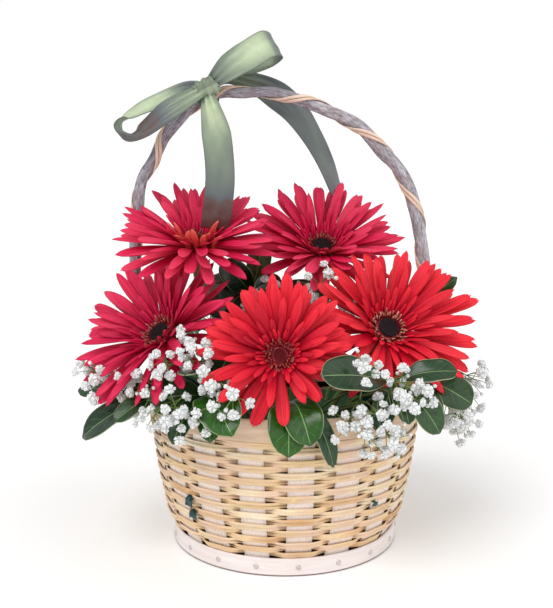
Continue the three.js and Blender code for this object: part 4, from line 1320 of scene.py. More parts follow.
# Each strip's tone run paints light on the ribbon: highlights, shade, and a red reflection of the flowers at
# the front tail's lower end.
BOW_STRIPS = (
    Strip("bow_tail_front", (
        ((-54, -12, 323), (8, -2, 2)), ((-51, -17, 311), (14, -2, 3)), ((-47, -19.5, 292), (20.5, -3, 1)),
        ((-45, -20.5, 265), (20.5, -2, 0)), ((-47, -20.5, 243), (20.5, 0, 0)),
        ((-49, -19, 229), (20.5, 1, 0)),
    ), ((0, 0.4), (0.1, 0.85), (0.25, 0.92), (0.45, 0.62), (0.68, 0.3), (0.8, 0.04), (1, -0.05)), 0.6),
    Strip("bow_loop_left", (
        ((-55, -10, 327), (1, 5, 6)), ((-72, 0, 326), (1, 12, 11)), ((-90, 3, 318.5), (1, 15, 12)),
        ((-105, 0, 311), (1, 16, 10)), ((-114.5, -4, 303.5), (1, 18, 7)), ((-115, -8, 297), (-1, 20, 4)),
        ((-108, -11.5, 293), (-4, 19, 5)), ((-98, -15, 297), (-6, 16, 10)),
        ((-80, -18, 310), (-9, 11, 12)), ((-57, -13, 324), (-5, 4, 8)),
    ), (
        (0, 0.3), (0.1, 0.3), (0.2, 0.85), (0.36, 1.0), (0.5, 0.7), (0.57, 0.6), (0.63, 0.22), (0.84, 0.2),
        (0.93, 0.6), (1, 0.8),
    ), 0.5),
    Strip("bow_loop_right", (
        ((-53, -11, 327), (-4, 3, 7)), ((-38, -16, 339.5), (-10, 4, 15.5)), ((-24, -17, 348), (-11, 4, 17.3)),
        ((-12, -14, 355), (-10, 5, 17.5)), ((-6.5, -6, 354.5), (-9, 8, 16.5)), ((-11, 1, 350), (-8, 10, 16)),
        ((-22, 4, 344), (-5, 9, 13)), ((-38, 1, 339), (-3, 7, 9)), ((-53, -9, 328), (0, 4, 7)),
    ), (
        (0, 0.3), (0.12, 0.65), (0.28, 0.96), (0.37, 0.86), (0.43, 0.4), (0.5, 0.3), (0.64, 0.8), (0.8, 0.5),
        (1, 0.3),
    ), 0.5),
    Strip("bow_tail_rear", (
        ((-54, -8.5, 329), (0, 4, 7)), ((-40, 6, 334), (0, 3, 10)), ((-22, 11, 330), (1, 2, 15)),
        ((-6, 13, 322), (9, 1, 18)), ((8, 17, 310), (13, 9, 13)), ((20, 25, 293), (11, 13, 11)),
        ((31, 37, 273), (10, 15, 9)), ((39, 50, 254), (8, 18, 7)), ((43, 60, 240), (6, 19, 4)),
    ), ((0, 0.3), (0.2, 0.55), (0.36, 0.3), (0.6, 0.32), (1, 0.26)), 0.4),
)


@dataclass
class Bow(Part):
    """Bow tied of one satin ribbon: knot, turn round the handle, two loops and two tails."""

    handle: Handle
    width: float = 20.5
    thickness: float = 0.45
    folds: int = 3
    knot: Triple = (-54, -11.5, 326)
    knot_axis: Triple = (0.9, -0.1, 0.42)
    knot_deep: float = 5.0
    knot_tall: float = 6.8
    knot_width: float = 15.0
    knot_length: float = 37.0
    seat: Triple = (-54, 0, 319)
    turn_radius: float = 5.9
    turn_width: float = 12.0
    turn_length: float = 37.0

    def gather(self, narrow: float, u: float) -> float:
        """Returns the height of a fold where the ribbon is gathered to a narrower width.

        Args:
            narrow: The width there.
            u: The share across it.
        """
        slack = math.sqrt(max(self.width / narrow - 1, 0.0))
        swell = narrow / (math.pi * self.folds) * slack
        return 0.8 * swell * math.cos(FULL_TURN * self.folds * u)

    def declare(self, piece: Piece, length: float, held: str) -> None:
        cloth = self.set_down(piece, ("satin",), "satin", "ribbon_bow")

    def build_strip(self, strip: Strip) -> None:
        """One loop or tail."""
        path = Line([place for place, _ in strip.stations])
        wide = Line([across for _, across in strip.stations])
        seed = len(strip.name)

        def rule(u: float, v: float) -> Vector:
            ahead = path.along(v)
            across = wide.at(v)
            narrow = min(across.length, self.width)
            across = (across - ahead * across.dot(ahead)).normalized()
            face = ahead.cross(across)
            x = 2 * u - 1
            ripple = 0.5 * noise.noise(Vector((1.6 * x, 5 * v, seed)))
            lift = self.gather(narrow, u) + strip.cup * (1 - x * x) + ripple
            return path.at(v) + across * (x * narrow / 2) + face * lift

        # Painted light on the strip: its run of tones, painted shade towards both edges, and a random streak.
        def tone(u: float, v: float) -> float:
            edge = abs(2 * u - 1) ** 3
            base = run(strip.tones, v)
            streak = 0.1 * noise.noise(Vector((3 * u, 9 * v, seed)))
            return base - 0.4 * edge * max(base - 0.2, 0.0) + streak

        piece = Piece(strip.name, owner="bow")
        piece.blade(self.thickness, 0, 30, 96, rule, tone=tone, size=(2.0, path.length / 10))
        self.declare(piece, path.length, "gathered")

    def build_knot(self) -> None:
        """Band of ribbon drawn tight round the gathered middle of the bow."""
        middle = Vector(self.knot)
        axis = Vector(self.knot_axis).normalized()
        out = -BACK
        up = axis.cross(out).normalized()

        def rule(u: float, v: float) -> Vector:
            turn = FULL_TURN * u
            x = 2 * v - 1
            swell = 1 - 0.2 * x * x + 0.13 * math.cos(3 * math.pi * x + 2 * math.sin(turn))
            rough = 1 + 0.05 * noise.noise(around(turn, 1, 3 * x))
            place = out * (self.knot_deep * math.cos(turn)) + up * (self.knot_tall * math.sin(turn))
            return middle + place * (swell * rough) + axis * (x * self.knot_width / 2 + 1.6 * math.sin(turn))

        piece = Piece("bow_knot", owner="bow")
        piece.sleeve(self.thickness, 40, 24, rule, tone=0.72, size=(4.0, 2.0))
        self.declare(piece, self.knot_length, "folded")

    def build_turn(self) -> None:
        """Gathered turn of ribbon round the handle behind the knot."""
        middle, ahead = self.handle.line.near(Vector(self.seat))
        rise = ahead.cross(BACK)

        def rule(u: float, v: float) -> Vector:
            turn = FULL_TURN * u
            x = 2 * v - 1
            radius = self.turn_radius + 0.9 * math.cos(4 * math.pi * x + turn) - 0.5 * x * x
            way = rise * math.cos(turn) + BACK * math.sin(turn)
            return middle + way * radius + ahead * (x * self.turn_width / 2 + 0.8 * math.sin(turn))

        piece = Piece("bow_turn", owner="bow")
        piece.sleeve(self.thickness, 40, 20, rule, tone=0.3, size=(4.5, 2.0))
        self.declare(piece, self.turn_length, "folded")

    def build(self) -> None:
        """Builds the turn, the knot, the loops and the tails."""
        self.build_turn()
        self.build_knot()
        for strip in BOW_STRIPS:
            self.build_strip(strip)


class Red(Enum):
    """The two reds of the gerberas."""

    SCARLET = "petal_scarlet"
    CRIMSON = "petal_crimson"


@dataclass(frozen=True)
class Foot:
    """Straight foot of a stem: where it enters the foam's top and the way that it leans."""

    x: float
    y: float
    lean: Triple

    DEPTH = 32.0
    RISE = 8.0

    def points(self, top: float) -> list[Vector]:
        """Returns places from inside the foam to just above its top, whose height is given."""
        entry, way = Vector((self.x, self.y, 0)), Vector(self.lean)
        above, foot = entry + way * self.RISE, entry - way * self.DEPTH
        above.z, foot.z = top + self.RISE, top - self.DEPTH
        return [foot.lerp(above, share) for share in (0.0, 0.4, 0.8, 1.0)]


@dataclass(frozen=True)
class Bloom:
    """A gerbera.

    Attributes:
        name, red, seed: Its name, the red of its florets and the seed of its random draws.
        eye, normal: Place of its eye and the way that it faces.
        reach: Length of its florets, as a share of the layers' own.
        cup, sag: Degrees by which all its florets rise and by which its lower ones fall.
        foot: Foot of its stem.
        eye_radius, warmth: Radius of its eye, and the eye's tone from dark to red.
        paleness: Tone of the tips round its eye.
        thinned: Share of florets that its lowest part lacks.
        ruffed: True where a ruff of folded florets stands before its eye.
        side, longer_by: Degrees of the side with longer florets, and how much longer they are.
        light: What is added to the tones of its florets.
    """

    name: str
    red: Red
    seed: int
    eye: Triple
    normal: Triple
    reach: float
    cup: float
    sag: float
    foot: Foot
    eye_radius: float
    warmth: float
    paleness: float
    thinned: float = 0.0
    ruffed: bool = False
    side: float = 0.0
    longer_by: float = 0.0
    light: float = 0.0

    def longer(self, turn: float) -> float:
        """Returns how much longer florets are at a turn, with the most at the bloom's own side."""
        return 1 + self.longer_by * max(0.0, math.cos(turn - math.radians(self.side))) ** 3

    def gap(self, turn: float) -> float:
        """Returns the share of florets that are missing at a turn."""
        return self.thinned * min(1.0, 2 * max(0.0, -0.3 - math.sin(turn)))

    def spot(self) -> Matrix:
        """Returns the head's own frame, with its middle in the eye and Z along the way that it faces."""
        out = Vector(self.normal).normalized()
        right = UP.cross(out).normalized()
        turned = Matrix((right, out.cross(right), out)).transposed()
        return Matrix.Translation(Vector(self.eye)) @ turned.to_4x4()


BLOOMS = (
    Bloom(
        "front", Red.SCARLET, 11, (-4, -95, 155.5), (0, -0.93, 0.36), reach=0.95, cup=-2, sag=-4,
        foot=Foot(-2, -26, (0, -0.3, 1)), eye_radius=4.2, warmth=0.95, paleness=0.16, thinned=0.4, side=-32,
        longer_by=-0.3,
    ),
    Bloom(
        "right", Red.SCARLET, 23, (72, -35, 162), (0.27, -0.74, 0.62), reach=1.06, cup=6, sag=6,
        foot=Foot(34, -10, (0.3, 0, 1)), eye_radius=7.3, warmth=0.0, paleness=1.0, side=10, longer_by=0.14,
        light=0.15,
    ),
    Bloom(
        "middle_left", Red.CRIMSON, 37, (-87, -42, 160), (-0.5, -0.54, 0.68), reach=1.08, cup=8, sag=4,
        foot=Foot(-36, -12, (-0.3, -0.1, 1)), eye_radius=7.2, warmth=0.0, paleness=0.45, side=165,
        longer_by=0.12,
    ),
    Bloom(
        "back_left", Red.CRIMSON, 41, (-63, -15, 221), (0, -0.45, 0.89), reach=1.04, cup=9, sag=3,
        foot=Foot(-22, 8, (-0.25, 0, 1)), eye_radius=5.0, warmth=0.6, paleness=0.35, ruffed=True, light=0.3,
    ),
    Bloom(
        "back_right", Red.CRIMSON, 59, (28, 20, 214), (0.05, -0.57, 0.82), reach=1.04, cup=14, sag=0,
        foot=Foot(12, 16, (0.1, 0.05, 1)), eye_radius=7.0, warmth=0.0, paleness=0.3, light=0.35,
    ),
)


@dataclass(frozen=True)
class Layer:
    """One ring of florets.

    Attributes:
        count, shift: How many they are, and how far the ring is turned, in florets.
        root, height: Distance from the middle where they begin, for an eye of EYE_OF_LAYERS, and height.
        reach, width: Their length and width.
        rise, fall: Their slopes at the root and at the tip, in degrees.
        across, along: Faces across and along each.
        teeth: How deep their tips are notched.
        tone, finish: Their tone and the number of their finish.
    """

    count: int
    shift: float
    root: float
    height: float
    reach: float
    width: float
    rise: float
    fall: float
    across: int
    along: int
    teeth: float = 0.014
    tone: float = 0.3
    finish: int = 0

    def turn(self, i: int, stray: float, chance: Random) -> float:
        """Returns the turn of floret i, which strays by a drawn part of the space between florets."""
        return FULL_TURN * (i + self.shift + stray * (chance.random() - 0.5)) / self.count


EYE_OF_LAYERS = 5.0
LAYERS = (
    Layer(20, 0.0, 3, -5.6, 53, 8.8, 6, -10, 6, 12, tone=0.45),
    Layer(19, 0.5, 3.6, -5.5, 52, 8.6, 16, 2, 6, 12, tone=0.4),
    Layer(17, 0.25, 4.6, -5.4, 48, 7.8, 27, 12, 6, 10, tone=0.35),
    Layer(15, 0.75, 5.8, -5.4, 39, 6.0, 38, 24, 4, 9, tone=0.25),
    Layer(20, 0.0, 6.8, -5.4, 25, 3.4, 52, 38, 4, 8, teeth=0.0, tone=0.0),
    Layer(30, 0.5, 7.4, -5.2, 15, 2.1, 62, 46, 4, 6, teeth=0.0, tone=0.0),
)
FRILLS = (
    Layer(38, 0.5, 1.7, -4.4, 9.0, 1.6, 72, 46, 2, 4, teeth=0.0, finish=2),
    Layer(32, 0.0, 0.7, -3.2, 6.0, 1.3, 84, 40, 2, 4, teeth=0.0, finish=2),
)
RUFF = Layer(11, 0.15, 8.0, -5.2, 27, 5.2, 82, 66, 6, 9, teeth=0.0, tone=0.6, finish=3)
RUFF_OUTER = 17.0
RUFF_SPACE = 0.22
POINTED_OUTLINE = (
    (0, 0.28), (0.25, 0.56), (0.5, 0.88), (0.66, 1.0), (0.8, 0.9), (0.91, 0.6), (0.97, 0.32), (1, 0.08),
)
NOTCHED_OUTLINE = (
    (0, 0.28), (0.25, 0.54), (0.5, 0.84), (0.7, 1.0), (0.86, 0.92), (0.95, 0.66), (0.985, 0.42),
    (1, 0.22),
)
FRILL_OUTLINE = ((0, 0.8), (0.6, 1.0), (0.9, 0.7), (1, 0.3))


@dataclass(frozen=True)
class Draw:
    """One floret's own turn, length, slopes in degrees, width, roll, curl and sideways bend."""

    turn: float
    length: float
    rise: float
    fall: float
    wide: float
    roll: float
    curl: float
    bend: float


def floret_rule(spot: Matrix, layer: Layer, outline: Stations, draw: Draw) -> Rule:
    """Returns the rule of one floret.

    Args:
        spot: The head's frame.
        layer: The floret's layer.
        outline: Its share of the width along its length.
        draw: What it has of its own.
    """
    rise, fall = math.radians(draw.rise), math.radians(draw.fall)
    out, across = around(draw.turn), beside(draw.turn)
    change = fall - rise if abs(fall - rise) > 1e-3 else 1e-3
    base = out * layer.root + UP * layer.height

    def rule(u: float, v: float) -> Vector:
        x = 1 - 2 * u
        wave = math.cos(3 * math.pi * x)
        t = v * (1 - layer.teeth * (1 - wave) - 0.05 * x * x)
        slope = rise + change * t
        far = draw.length * (math.sin(slope) - math.sin(rise)) / change
        high = draw.length * (math.cos(rise) - math.cos(slope)) / change
        over = UP * math.cos(slope) - out * math.sin(slope)
        half = layer.width * draw.wide / 2 * run(outline, t)
        roll = draw.roll * t
        side = across * math.cos(roll) + over * math.sin(roll)
        lift = over * math.cos(roll) - across * math.sin(roll)
        relief = 0.035 * half * wave + draw.curl * half * x * x
        place = base + out * far + UP * high + across * (draw.bend * draw.length * t * t)
        return spot @ (place + side * (x * half) + lift * relief)

    return rule


def tip_tone(most: float) -> Tone:
    """Returns the tone of a floret that turns pale at its tip only, where it reaches the given tone."""
    return lambda u, v: most * clamped((v - 0.62) / 0.3)


@dataclass
class Gerberas(Part):
    """Five gerberas with their heads, dark eyes, stems and calyx cups."""

    basket: Basket
    hub: Profile = ((0, 0.0, -7.4), (0.3, 8.4, -7.0), (0.5, 10.2, -5.2), (0.7, 9.6, -2.4), (1, 0.0, -1.0))
    dome: Profile = ((0, 0.0, -0.7), (0.35, 0.93, -0.6), (0.5, 1.0, 0.2), (0.7, 0.87, 1.0), (1, 0.0, 1.9))
    calyx: Profile = (
        (0, 0.0, -16.4), (0.12, 3.0, -15.9), (0.5, 6.4, -12.4), (0.85, 9.0, -8.2), (1, 9.2, -7.2),
    )
    bract_rings: tuple[tuple[float, ...], ...] = ((14, -15.0, 9.5), (16, -12.4, 8.0))
    bract_radii: Stations = ((-16.4, 3.4), (-12.4, 7.0), (-8.2, 9.6), (-4.0, 10.6))
    floret_thickness: float = 0.55
    frill_thickness: float = 0.4
    tested_from: float = 0.34
    eye_florets: int = 96
    stem_radius: float = 2.6
    neck: float = 34.0
    stem_end: float = 10.0

    def add_floret(
        self, piece: Piece, bloom: Bloom, layer: Layer, turn: float, chance: Random,
        sisters: list[BVHTree],
    ) -> None:
        """Adds one floret, bent clear of what stands in place. One that is blocked is left out.

        Args:
            piece: The head.
            bloom: The flower.
            layer: The floret's layer.
            turn: Where it is round the head.
            chance: The head's random draws.
            sisters: The head's florets so far.
        """
        spot = bloom.spot()
        draw = Draw(
            turn=turn,
            length=layer.reach * bloom.reach * chance.uniform(0.9, 1.06) * bloom.longer(turn),
            rise=layer.rise + bloom.cup + 9 * (chance.random() - 0.5),
            fall=layer.fall + bloom.cup + 10 * (chance.random() - 0.5) - bloom.sag * max(0, -math.sin(turn)),
            wide=chance.uniform(0.86, 1.08),
            roll=math.radians(chance.uniform(-22, 22)),
            curl=chance.uniform(-0.28, 0.3),
            bend=chance.uniform(-0.09, 0.09),
        )
        outline = chance.choice((POINTED_OUTLINE, POINTED_OUTLINE, NOTCHED_OUTLINE))

        def make(lift: float, sway: float, size: float) -> Rule:
            slopes = {"rise": draw.rise + lift, "fall": draw.fall + lift}
            tilted = replace(draw, turn=turn + math.radians(sway / 2), length=draw.length * size, **slopes)
            return floret_rule(spot, layer, outline, tilted)

        rule = bent_clear(self.thicket, bloom.name, make, sisters, self.tested_from)
        if rule:
            tone = clamped(layer.tone + bloom.light + chance.uniform(-0.3, 0.45))
            piece.blade(self.floret_thickness, 1, layer.across, layer.along, rule, tone=tone)

    def add_ruff(self, piece: Piece, bloom: Bloom, chance: Random) -> None:
        """Adds the ruff of upright folded florets in front of the eye."""
        for i in range(RUFF.count):
            layer = replace(RUFF, root=chance.uniform(RUFF.root, RUFF_OUTER))
            draw = Draw(
                turn=RUFF.shift - math.pi / 2 + RUFF_SPACE * (i - (RUFF.count - 1) / 2),
                length=RUFF.reach * chance.uniform(0.8, 1.1), wide=chance.uniform(0.8, 1.1),
                rise=RUFF.rise + chance.uniform(-6, 6), fall=RUFF.fall + chance.uniform(-25, 10),
                roll=chance.uniform(-0.4, 0.4), curl=0.3, bend=chance.uniform(-0.15, 0.15),
            )
            rule = floret_rule(bloom.spot(), layer, POINTED_OUTLINE, draw)
            look = {"tone": RUFF.tone, "material": RUFF.finish}
            piece.blade(self.floret_thickness, RUFF.finish, RUFF.across, RUFF.along, rule, **look)

    def add_frill(self, piece: Piece, bloom: Bloom, frill: Layer, chance: Random) -> None:
        """Adds a ring of thin curled florets with pale tips round the eye."""
        frill = replace(frill, root=bloom.eye_radius + frill.root)
        for i in range(frill.count):
            draw = Draw(
                turn=frill.turn(i, 0.5, chance), length=frill.reach * chance.uniform(0.7, 1.15), wide=1.0,
                rise=frill.rise + chance.uniform(-12, 12), fall=frill.fall + chance.uniform(-30, 30),
                roll=chance.uniform(-1.2, 1.2), curl=chance.uniform(-0.5, 0.5),
                bend=chance.uniform(-0.2, 0.2),
            )
            rule = floret_rule(bloom.spot(), frill, FRILL_OUTLINE, draw)
            look = {"tone": tip_tone(bloom.paleness * chance.uniform(0.3, 1.0)), "material": frill.finish}
            piece.blade(self.frill_thickness, frill.finish, frill.across, frill.along, rule, **look)

    def build_head(self, bloom: Bloom) -> None:
        """Red head: its hub, its layers of florets, and the ruff and frill round its eye."""
        chance = Random(bloom.seed)
        piece = Piece(f"gerbera_{bloom.name}_petals", owner=bloom.name)
        sisters: list[BVHTree] = []
        piece.wrap(24, 12, lathe(self.hub, bloom.spot()), tone=0.0, material=2)
        for layer in LAYERS:
            layer = replace(layer, root=layer.root + bloom.eye_radius - EYE_OF_LAYERS)
            for i in range(layer.count):
                turn = layer.turn(i, 0.55, chance)
                if chance.random() >= bloom.gap(turn):
                    self.add_floret(piece, bloom, layer, turn, chance, sisters)
        if bloom.ruffed:
            self.add_ruff(piece, bloom, chance)
        for frill in FRILLS:
            self.add_frill(piece, bloom, frill, chance)
        finishes = (bloom.red.value, bloom.red.value + "_under", "stamen_red", "petal_salmon")
        self.set_down(piece, finishes, bloom.red.value, f"gerbera_{bloom.name}_head")

    def build_eye(self, bloom: Bloom) -> None:
        """Dark eye: a low dome closely set with small closed florets."""
        spot = bloom.spot()
        piece = Piece(f"gerbera_{bloom.name}_eye_florets", owner=bloom.name)
        piece.wrap(24, 10, lathe(self.dome, spot, bloom.eye_radius), tone=bloom.warmth)
        chance = Random(bloom.seed + 7)
        for i in range(self.eye_florets):
            radius = 0.94 * bloom.eye_radius * math.sqrt((i + 0.5) / self.eye_florets)
            root = around(i * GOLDEN_TURN, radius, 1.9 - 0.03 * radius * radius)
            lean = Vector((chance.uniform(-0.1, 0.1), 0, 0))
            way = (UP + Vector((root.x, root.y, 0)) * 0.05 + lean).normalized()
            tall = chance.uniform(0.7, 1.5)
            place = spot @ Matrix.Translation(root + way * (tall / 2 - 0.3)) @ faced(way)
            made = bmesh.ops.create_cone(
                piece.bm, cap_ends=True, segments=6, radius1=0.42, radius2=0.26, depth=tall, matrix=place,
            )
            for corner in made["verts"]:
                warmth = bloom.warmth * chance.uniform(0.6, 1.2)
                corner[piece.tone] = min(1.0, warmth + 0.15 * chance.random())
        self.set_down(piece, ("eye_dark",), "eye_dark", f"gerbera_{bloom.name}_eye")

    def bract_rule(self, spot: Matrix, turn: float, low: float, reach: float, spread: float) -> Rule:
        """Returns the rule of one bract of the calyx.

        Args:
            spot: The head's frame.
            turn: Where the bract is round the calyx.
            low: Height of its root.
            reach: Its length.
            spread: How far its tip stands off.
        """
        def rule(u: float, v: float) -> Vector:
            height = low + reach * v
            radius = run(self.bract_radii, height) + spread * v * v
            half = 1.25 * run(((0, 0.8), (0.5, 1.0), (1, 0.12)), v)
            return spot @ (around(turn) * radius - beside(turn) * ((2 * u - 1) * half) + UP * height)

        return rule

    def build_stem(self, bloom: Bloom) -> None:
        """Stem planted in the foam, with the calyx cup and its bracts under the head."""
        out = Vector(bloom.normal).normalized()
        eye = Vector(bloom.eye)
        foot = bloom.foot.points(self.basket.foam_top)
        neck = eye - out * self.neck
        line = Line([*foot, foot[3].lerp(neck, 0.55), neck, eye - out * self.stem_end])
        piece = Piece(f"gerbera_{bloom.name}_stalk", owner=bloom.name)
        piece.tube(line, lambda v: self.stem_radius * (0.94 + 0.1 * v), 14, 60, tone=0.3)
        spot = bloom.spot()
        piece.wrap(24, 10, lathe(self.calyx, spot), tone=0.2)
        chance = Random(bloom.seed + 3)
        for ring, (count, low, reach) in enumerate(self.bract_rings):
            for i in range(count):
                turn = FULL_TURN * (i + 0.5 * ring) / count
                rule = self.bract_rule(spot, turn, low, reach, chance.uniform(0, 0.7))
                piece.blade(0.4, 0, 2, 5, rule, tone=chance.uniform(0, 0.5))
        self.set_down(piece, ("stem_green",), "stem_green", f"gerbera_{bloom.name}_stem")

    def build(self) -> None:
        """Builds the stems and eyes, then the heads, so that florets bend clear of them."""
        for bloom in BLOOMS:
            self.build_stem(bloom)
            self.build_eye(bloom)
        for bloom in BLOOMS:
            self.build_head(bloom)


@dataclass(frozen=True)
class Leaf:
    """One leaf: its tip, width, the way that its face looks, its tone from dark to fresh, and its arch."""

    tip: Triple
    width: float
    face: Triple
    fresh: float = 0.3
    arch: float = 6.0


@dataclass(frozen=True)
class Sprig:
    """Leafy stem: its foot, the top where its leaves stand, its leaves, and a place that it bends through."""

    name: str
    foot: Foot
    top: Triple
    leaves: tuple[Leaf, ...]
    bend: Triple | None = None


SPRIGS = (
    Sprig("leaf_sprig_front_left", Foot(-32, -36, (-0.25, -0.4, 1)), (-50, -68, 121), (
        Leaf((-85, -84, 151), 24, (0.3, -0.8, 0.6), 0.5), Leaf((-70, -90, 152), 18, (0, 0.2, 1), 0.2),
        Leaf((-48, -106, 101), 15, (0, -0.6, 0.8), 0.9, 9), Leaf((-34, -62, 158), 18, (0, -1, 0.2), 0.1),
        Leaf((-73, -100, 100), 15, (-0.2, -0.7, 0.7), 0.2, 10),
        Leaf((-30, -112, 99), 25, (-0.1, -0.8, 0.6), 1.0, 14),
    )),
    Sprig("leaf_sprig_left", Foot(-48, -20, (-0.4, -0.1, 1)), (-72, -50, 119), (
        Leaf((-141, -47, 86), 21, (-0.2, -0.6, 0.8), 0.1, 10), Leaf((-146, -32, 116), 16, (0, -0.7, 0.7)),
        Leaf((-112, -84, 108), 15, (0, -0.5, 0.9), 0.3, 8),
    )),
    Sprig("leaf_sprig_front", Foot(0, -44, (0, -0.3, 1)), (2, -74, 119), (
        Leaf((-4, -113, 98), 24, (0, -0.8, 0.6), 1.0, 14),
        Leaf((18, -111, 101), 23, (0.1, -0.8, 0.6), 0.85, 13),
        Leaf((31, -105, 86), 12, (0.3, -0.8, 0.5), 0.3, 18),
    )),
    Sprig("leaf_sprig_right", Foot(36, -34, (0.3, -0.4, 1)), (70, -74, 132), (
        Leaf((16, -100, 145), 23, (0, -0.75, 0.65), 0.15, 5),
        Leaf((112, -80, 141), 17, (0, -0.6, 0.8), 0.15, 5),
        Leaf((78, -103, 112), 13, (0.2, -0.9, 0.3), 0.4),
        Leaf((100, -90, 102), 19, (0.3, -0.8, 0.5), 0.6, 8), Leaf((58, -100, 106), 14, (0, -0.9, 0.4), 0.2),
    ), (54, -54, 112)),
    Sprig("leaf_sprig_far_right", Foot(46, -8, (0.4, 0, 1)), (92, -36, 128), (
        Leaf((131, -50, 138), 22, (0, -0.8, 0.6), 0.5, 4), Leaf((128, -12, 108), 14, (0.1, -0.7, 0.7), 0.2),
        Leaf((112, -62, 100), 14, (0.3, -0.6, 0.7), 0.4, 8),
    ), (66, -22, 112)),
    Sprig("leaf_sprig_back_middle", Foot(-6, 30, (0, 0, 1)), (-24, 24, 176), (
        Leaf((-46, 0, 204), 18, (0, -1, 0.3), 0.0), Leaf((-62, 30, 182), 16, (0, -0.7, 0.7), 0.1),
        Leaf((-17, 44, 210), 16, (0, -1, 0.2), 0.8), Leaf((-2, 6, 188), 14, (0, -0.8, 0.6)),
        Leaf((-34, 62, 190), 17, (0, 0.5, 0.9), 0.4), Leaf((-58, -4, 170), 22, (0.1, -1, 0.2), 0.0),
        Leaf((-30, -22, 158), 22, (0, -1, 0.2), 0.1, 4), Leaf((4, -14, 166), 22, (0, -1, 0.3), 0.0, 4),
        Leaf((34, 0, 178), 20, (-0.1, -1, 0.3), 0.1, 4),
    )),
    Sprig("leaf_sprig_back_right", Foot(32, 26, (0.3, 0.3, 1)), (78, 40, 146), (
        Leaf((128, 16, 190), 12, (-0.2, -0.9, 0.1)), Leaf((122, 62, 132), 18, (0.2, 0.4, 0.9), 0.4),
        Leaf((88, 92, 140), 20, (0, 0.4, 0.9), 0.5), Leaf((50, 84, 168), 17, (0, 0.7, 0.7), 0.2),
        Leaf((108, 66, 104), 17, (0.5, 0.5, 0.7), 0.5, 10),
    ), (56, 34, 118)),
    Sprig("leaf_sprig_back", Foot(0, 46, (0, 0.4, 1)), (2, 72, 126), (
        Leaf((-4, 122, 108), 22, (0, 0.5, 0.9), 0.6, 11),
        Leaf((38, 110, 112), 20, (0.2, 0.5, 0.9), 0.4, 11),
        Leaf((-42, 108, 116), 19, (-0.2, 0.5, 0.9), 0.5, 10), Leaf((16, 96, 160), 18, (0, 0.8, 0.6), 0.2),
    )),
    Sprig("leaf_sprig_back_left", Foot(-34, 30, (-0.3, 0.3, 1)), (-68, 48, 140), (
        Leaf((-112, 70, 128), 20, (-0.2, 0.4, 0.9)), Leaf((-120, 34, 146), 17, (-0.1, -0.2, 1), 0.2),
        Leaf((-78, 98, 132), 19, (0, 0.4, 0.9), 0.5), Leaf((-60, 84, 172), 17, (0, 0.8, 0.6)),
        Leaf((-98, 72, 100), 16, (-0.5, 0.5, 0.7), 0.5, 10),
    ), (-54, 38, 118)),
)
LEAF_OUTLINE = (
    (0, 0.09), (0.1, 0.14), (0.24, 0.5), (0.4, 0.84), (0.56, 1.0), (0.74, 1.0), (0.86, 0.86), (0.94, 0.62),
    (0.985, 0.3), (1, 0.06),
)


@dataclass
class Foliage(Part):
    """Leafy sprigs with glossy leaves."""

    basket: Basket
    stem_radius: float = 1.5
    thickness: float = 0.5
    fold: float = 0.16
    tested_from: float = 0.2

    def leaf_rule(self, root: Vector, leaf: Leaf, reach: Vector, wave: float) -> Rule:
        """Returns the rule of one leaf.

        Args:
            root: Where it stands.
            leaf: Its sizes.
            reach: From its root to its tip.
            wave: Where the waves of its edge begin.
        """
        across = reach.cross(Vector(leaf.face).normalized()).normalized()
        over = across.cross(reach).normalized()

        def rule(u: float, v: float) -> Vector:
            x = 2 * u - 1
            half = 0.56 * leaf.width * run(LEAF_OUTLINE, v)
            middle = root + reach * v + over * (4 * leaf.arch * v * (1 - v))
            groove = -0.5 * math.exp(-((x / 0.16) ** 2)) * min(1.0, 4 * (1 - v))
            edge = 0.075 * half * x * x * math.sin(FULL_TURN * 2.3 * v + wave + (1.4 if x > 0 else 0.0))
            cup = self.fold * half * abs(x) ** 1.3
            return middle + across * (x * half) + over * (groove + edge + cup)

        return rule

    def add_leaf(
        self, piece: Piece, root: Vector, leaf: Leaf, chance: Random, sisters: list[BVHTree],
    ) -> None:
        """Adds one leaf, bent clear of what stands in place. One that is blocked is left out.

        Args:
            piece: The sprig.
            root: Where the leaf stands.
            leaf: Its sizes.
            chance: The sprig's random draws.
            sisters: The sprig's leaves so far.
        """
        straight = Vector(leaf.tip) - root
        face = Vector(leaf.face).normalized()
        side = straight.cross(face).normalized()
        wave = chance.uniform(0, FULL_TURN)

        def make(lift: float, sway: float, size: float) -> Rule:
            bent = Matrix.Rotation(math.radians(sway), 3, face) @ Matrix.Rotation(math.radians(lift), 3, side)
            return self.leaf_rule(root, leaf, bent @ (straight * size), wave)

        rule = bent_clear(self.thicket, piece.owner, make, sisters, self.tested_from)
        if rule:
            tone = clamped(leaf.fresh + chance.uniform(-0.1, 0.1))
            piece.blade(self.thickness, 1, 12, 22, rule, tone=tone)
        else:
            LOG.info("%s: a leaf at %s is blocked", piece.owner, leaf.tip)

    def build_sprig(self, sprig: Sprig) -> None:
        """One stem with its leaves."""
        chance = Random(len(sprig.name) * 31 + len(sprig.leaves))
        root = Vector(sprig.top)
        piece = Piece(f"{sprig.name}_leaves", owner=sprig.name)
        sisters: list[BVHTree] = []
        for leaf in sprig.leaves:
            self.add_leaf(piece, root, leaf, chance, sisters)
        bend = [sprig.bend] if sprig.bend else []
        line = Line([*sprig.foot.points(self.basket.foam_top), *bend, root])
        piece.tube(line, lambda v: self.stem_radius * (1 - 0.25 * v), 8, 30, tone=0.3, material=2)
        self.set_down(piece, ("leaf_face", "leaf_under", "stem_green"), "leaf_green", sprig.name)

    def build(self) -> None:
        """Builds every sprig."""
        for sprig in SPRIGS:
            self.build_sprig(sprig)


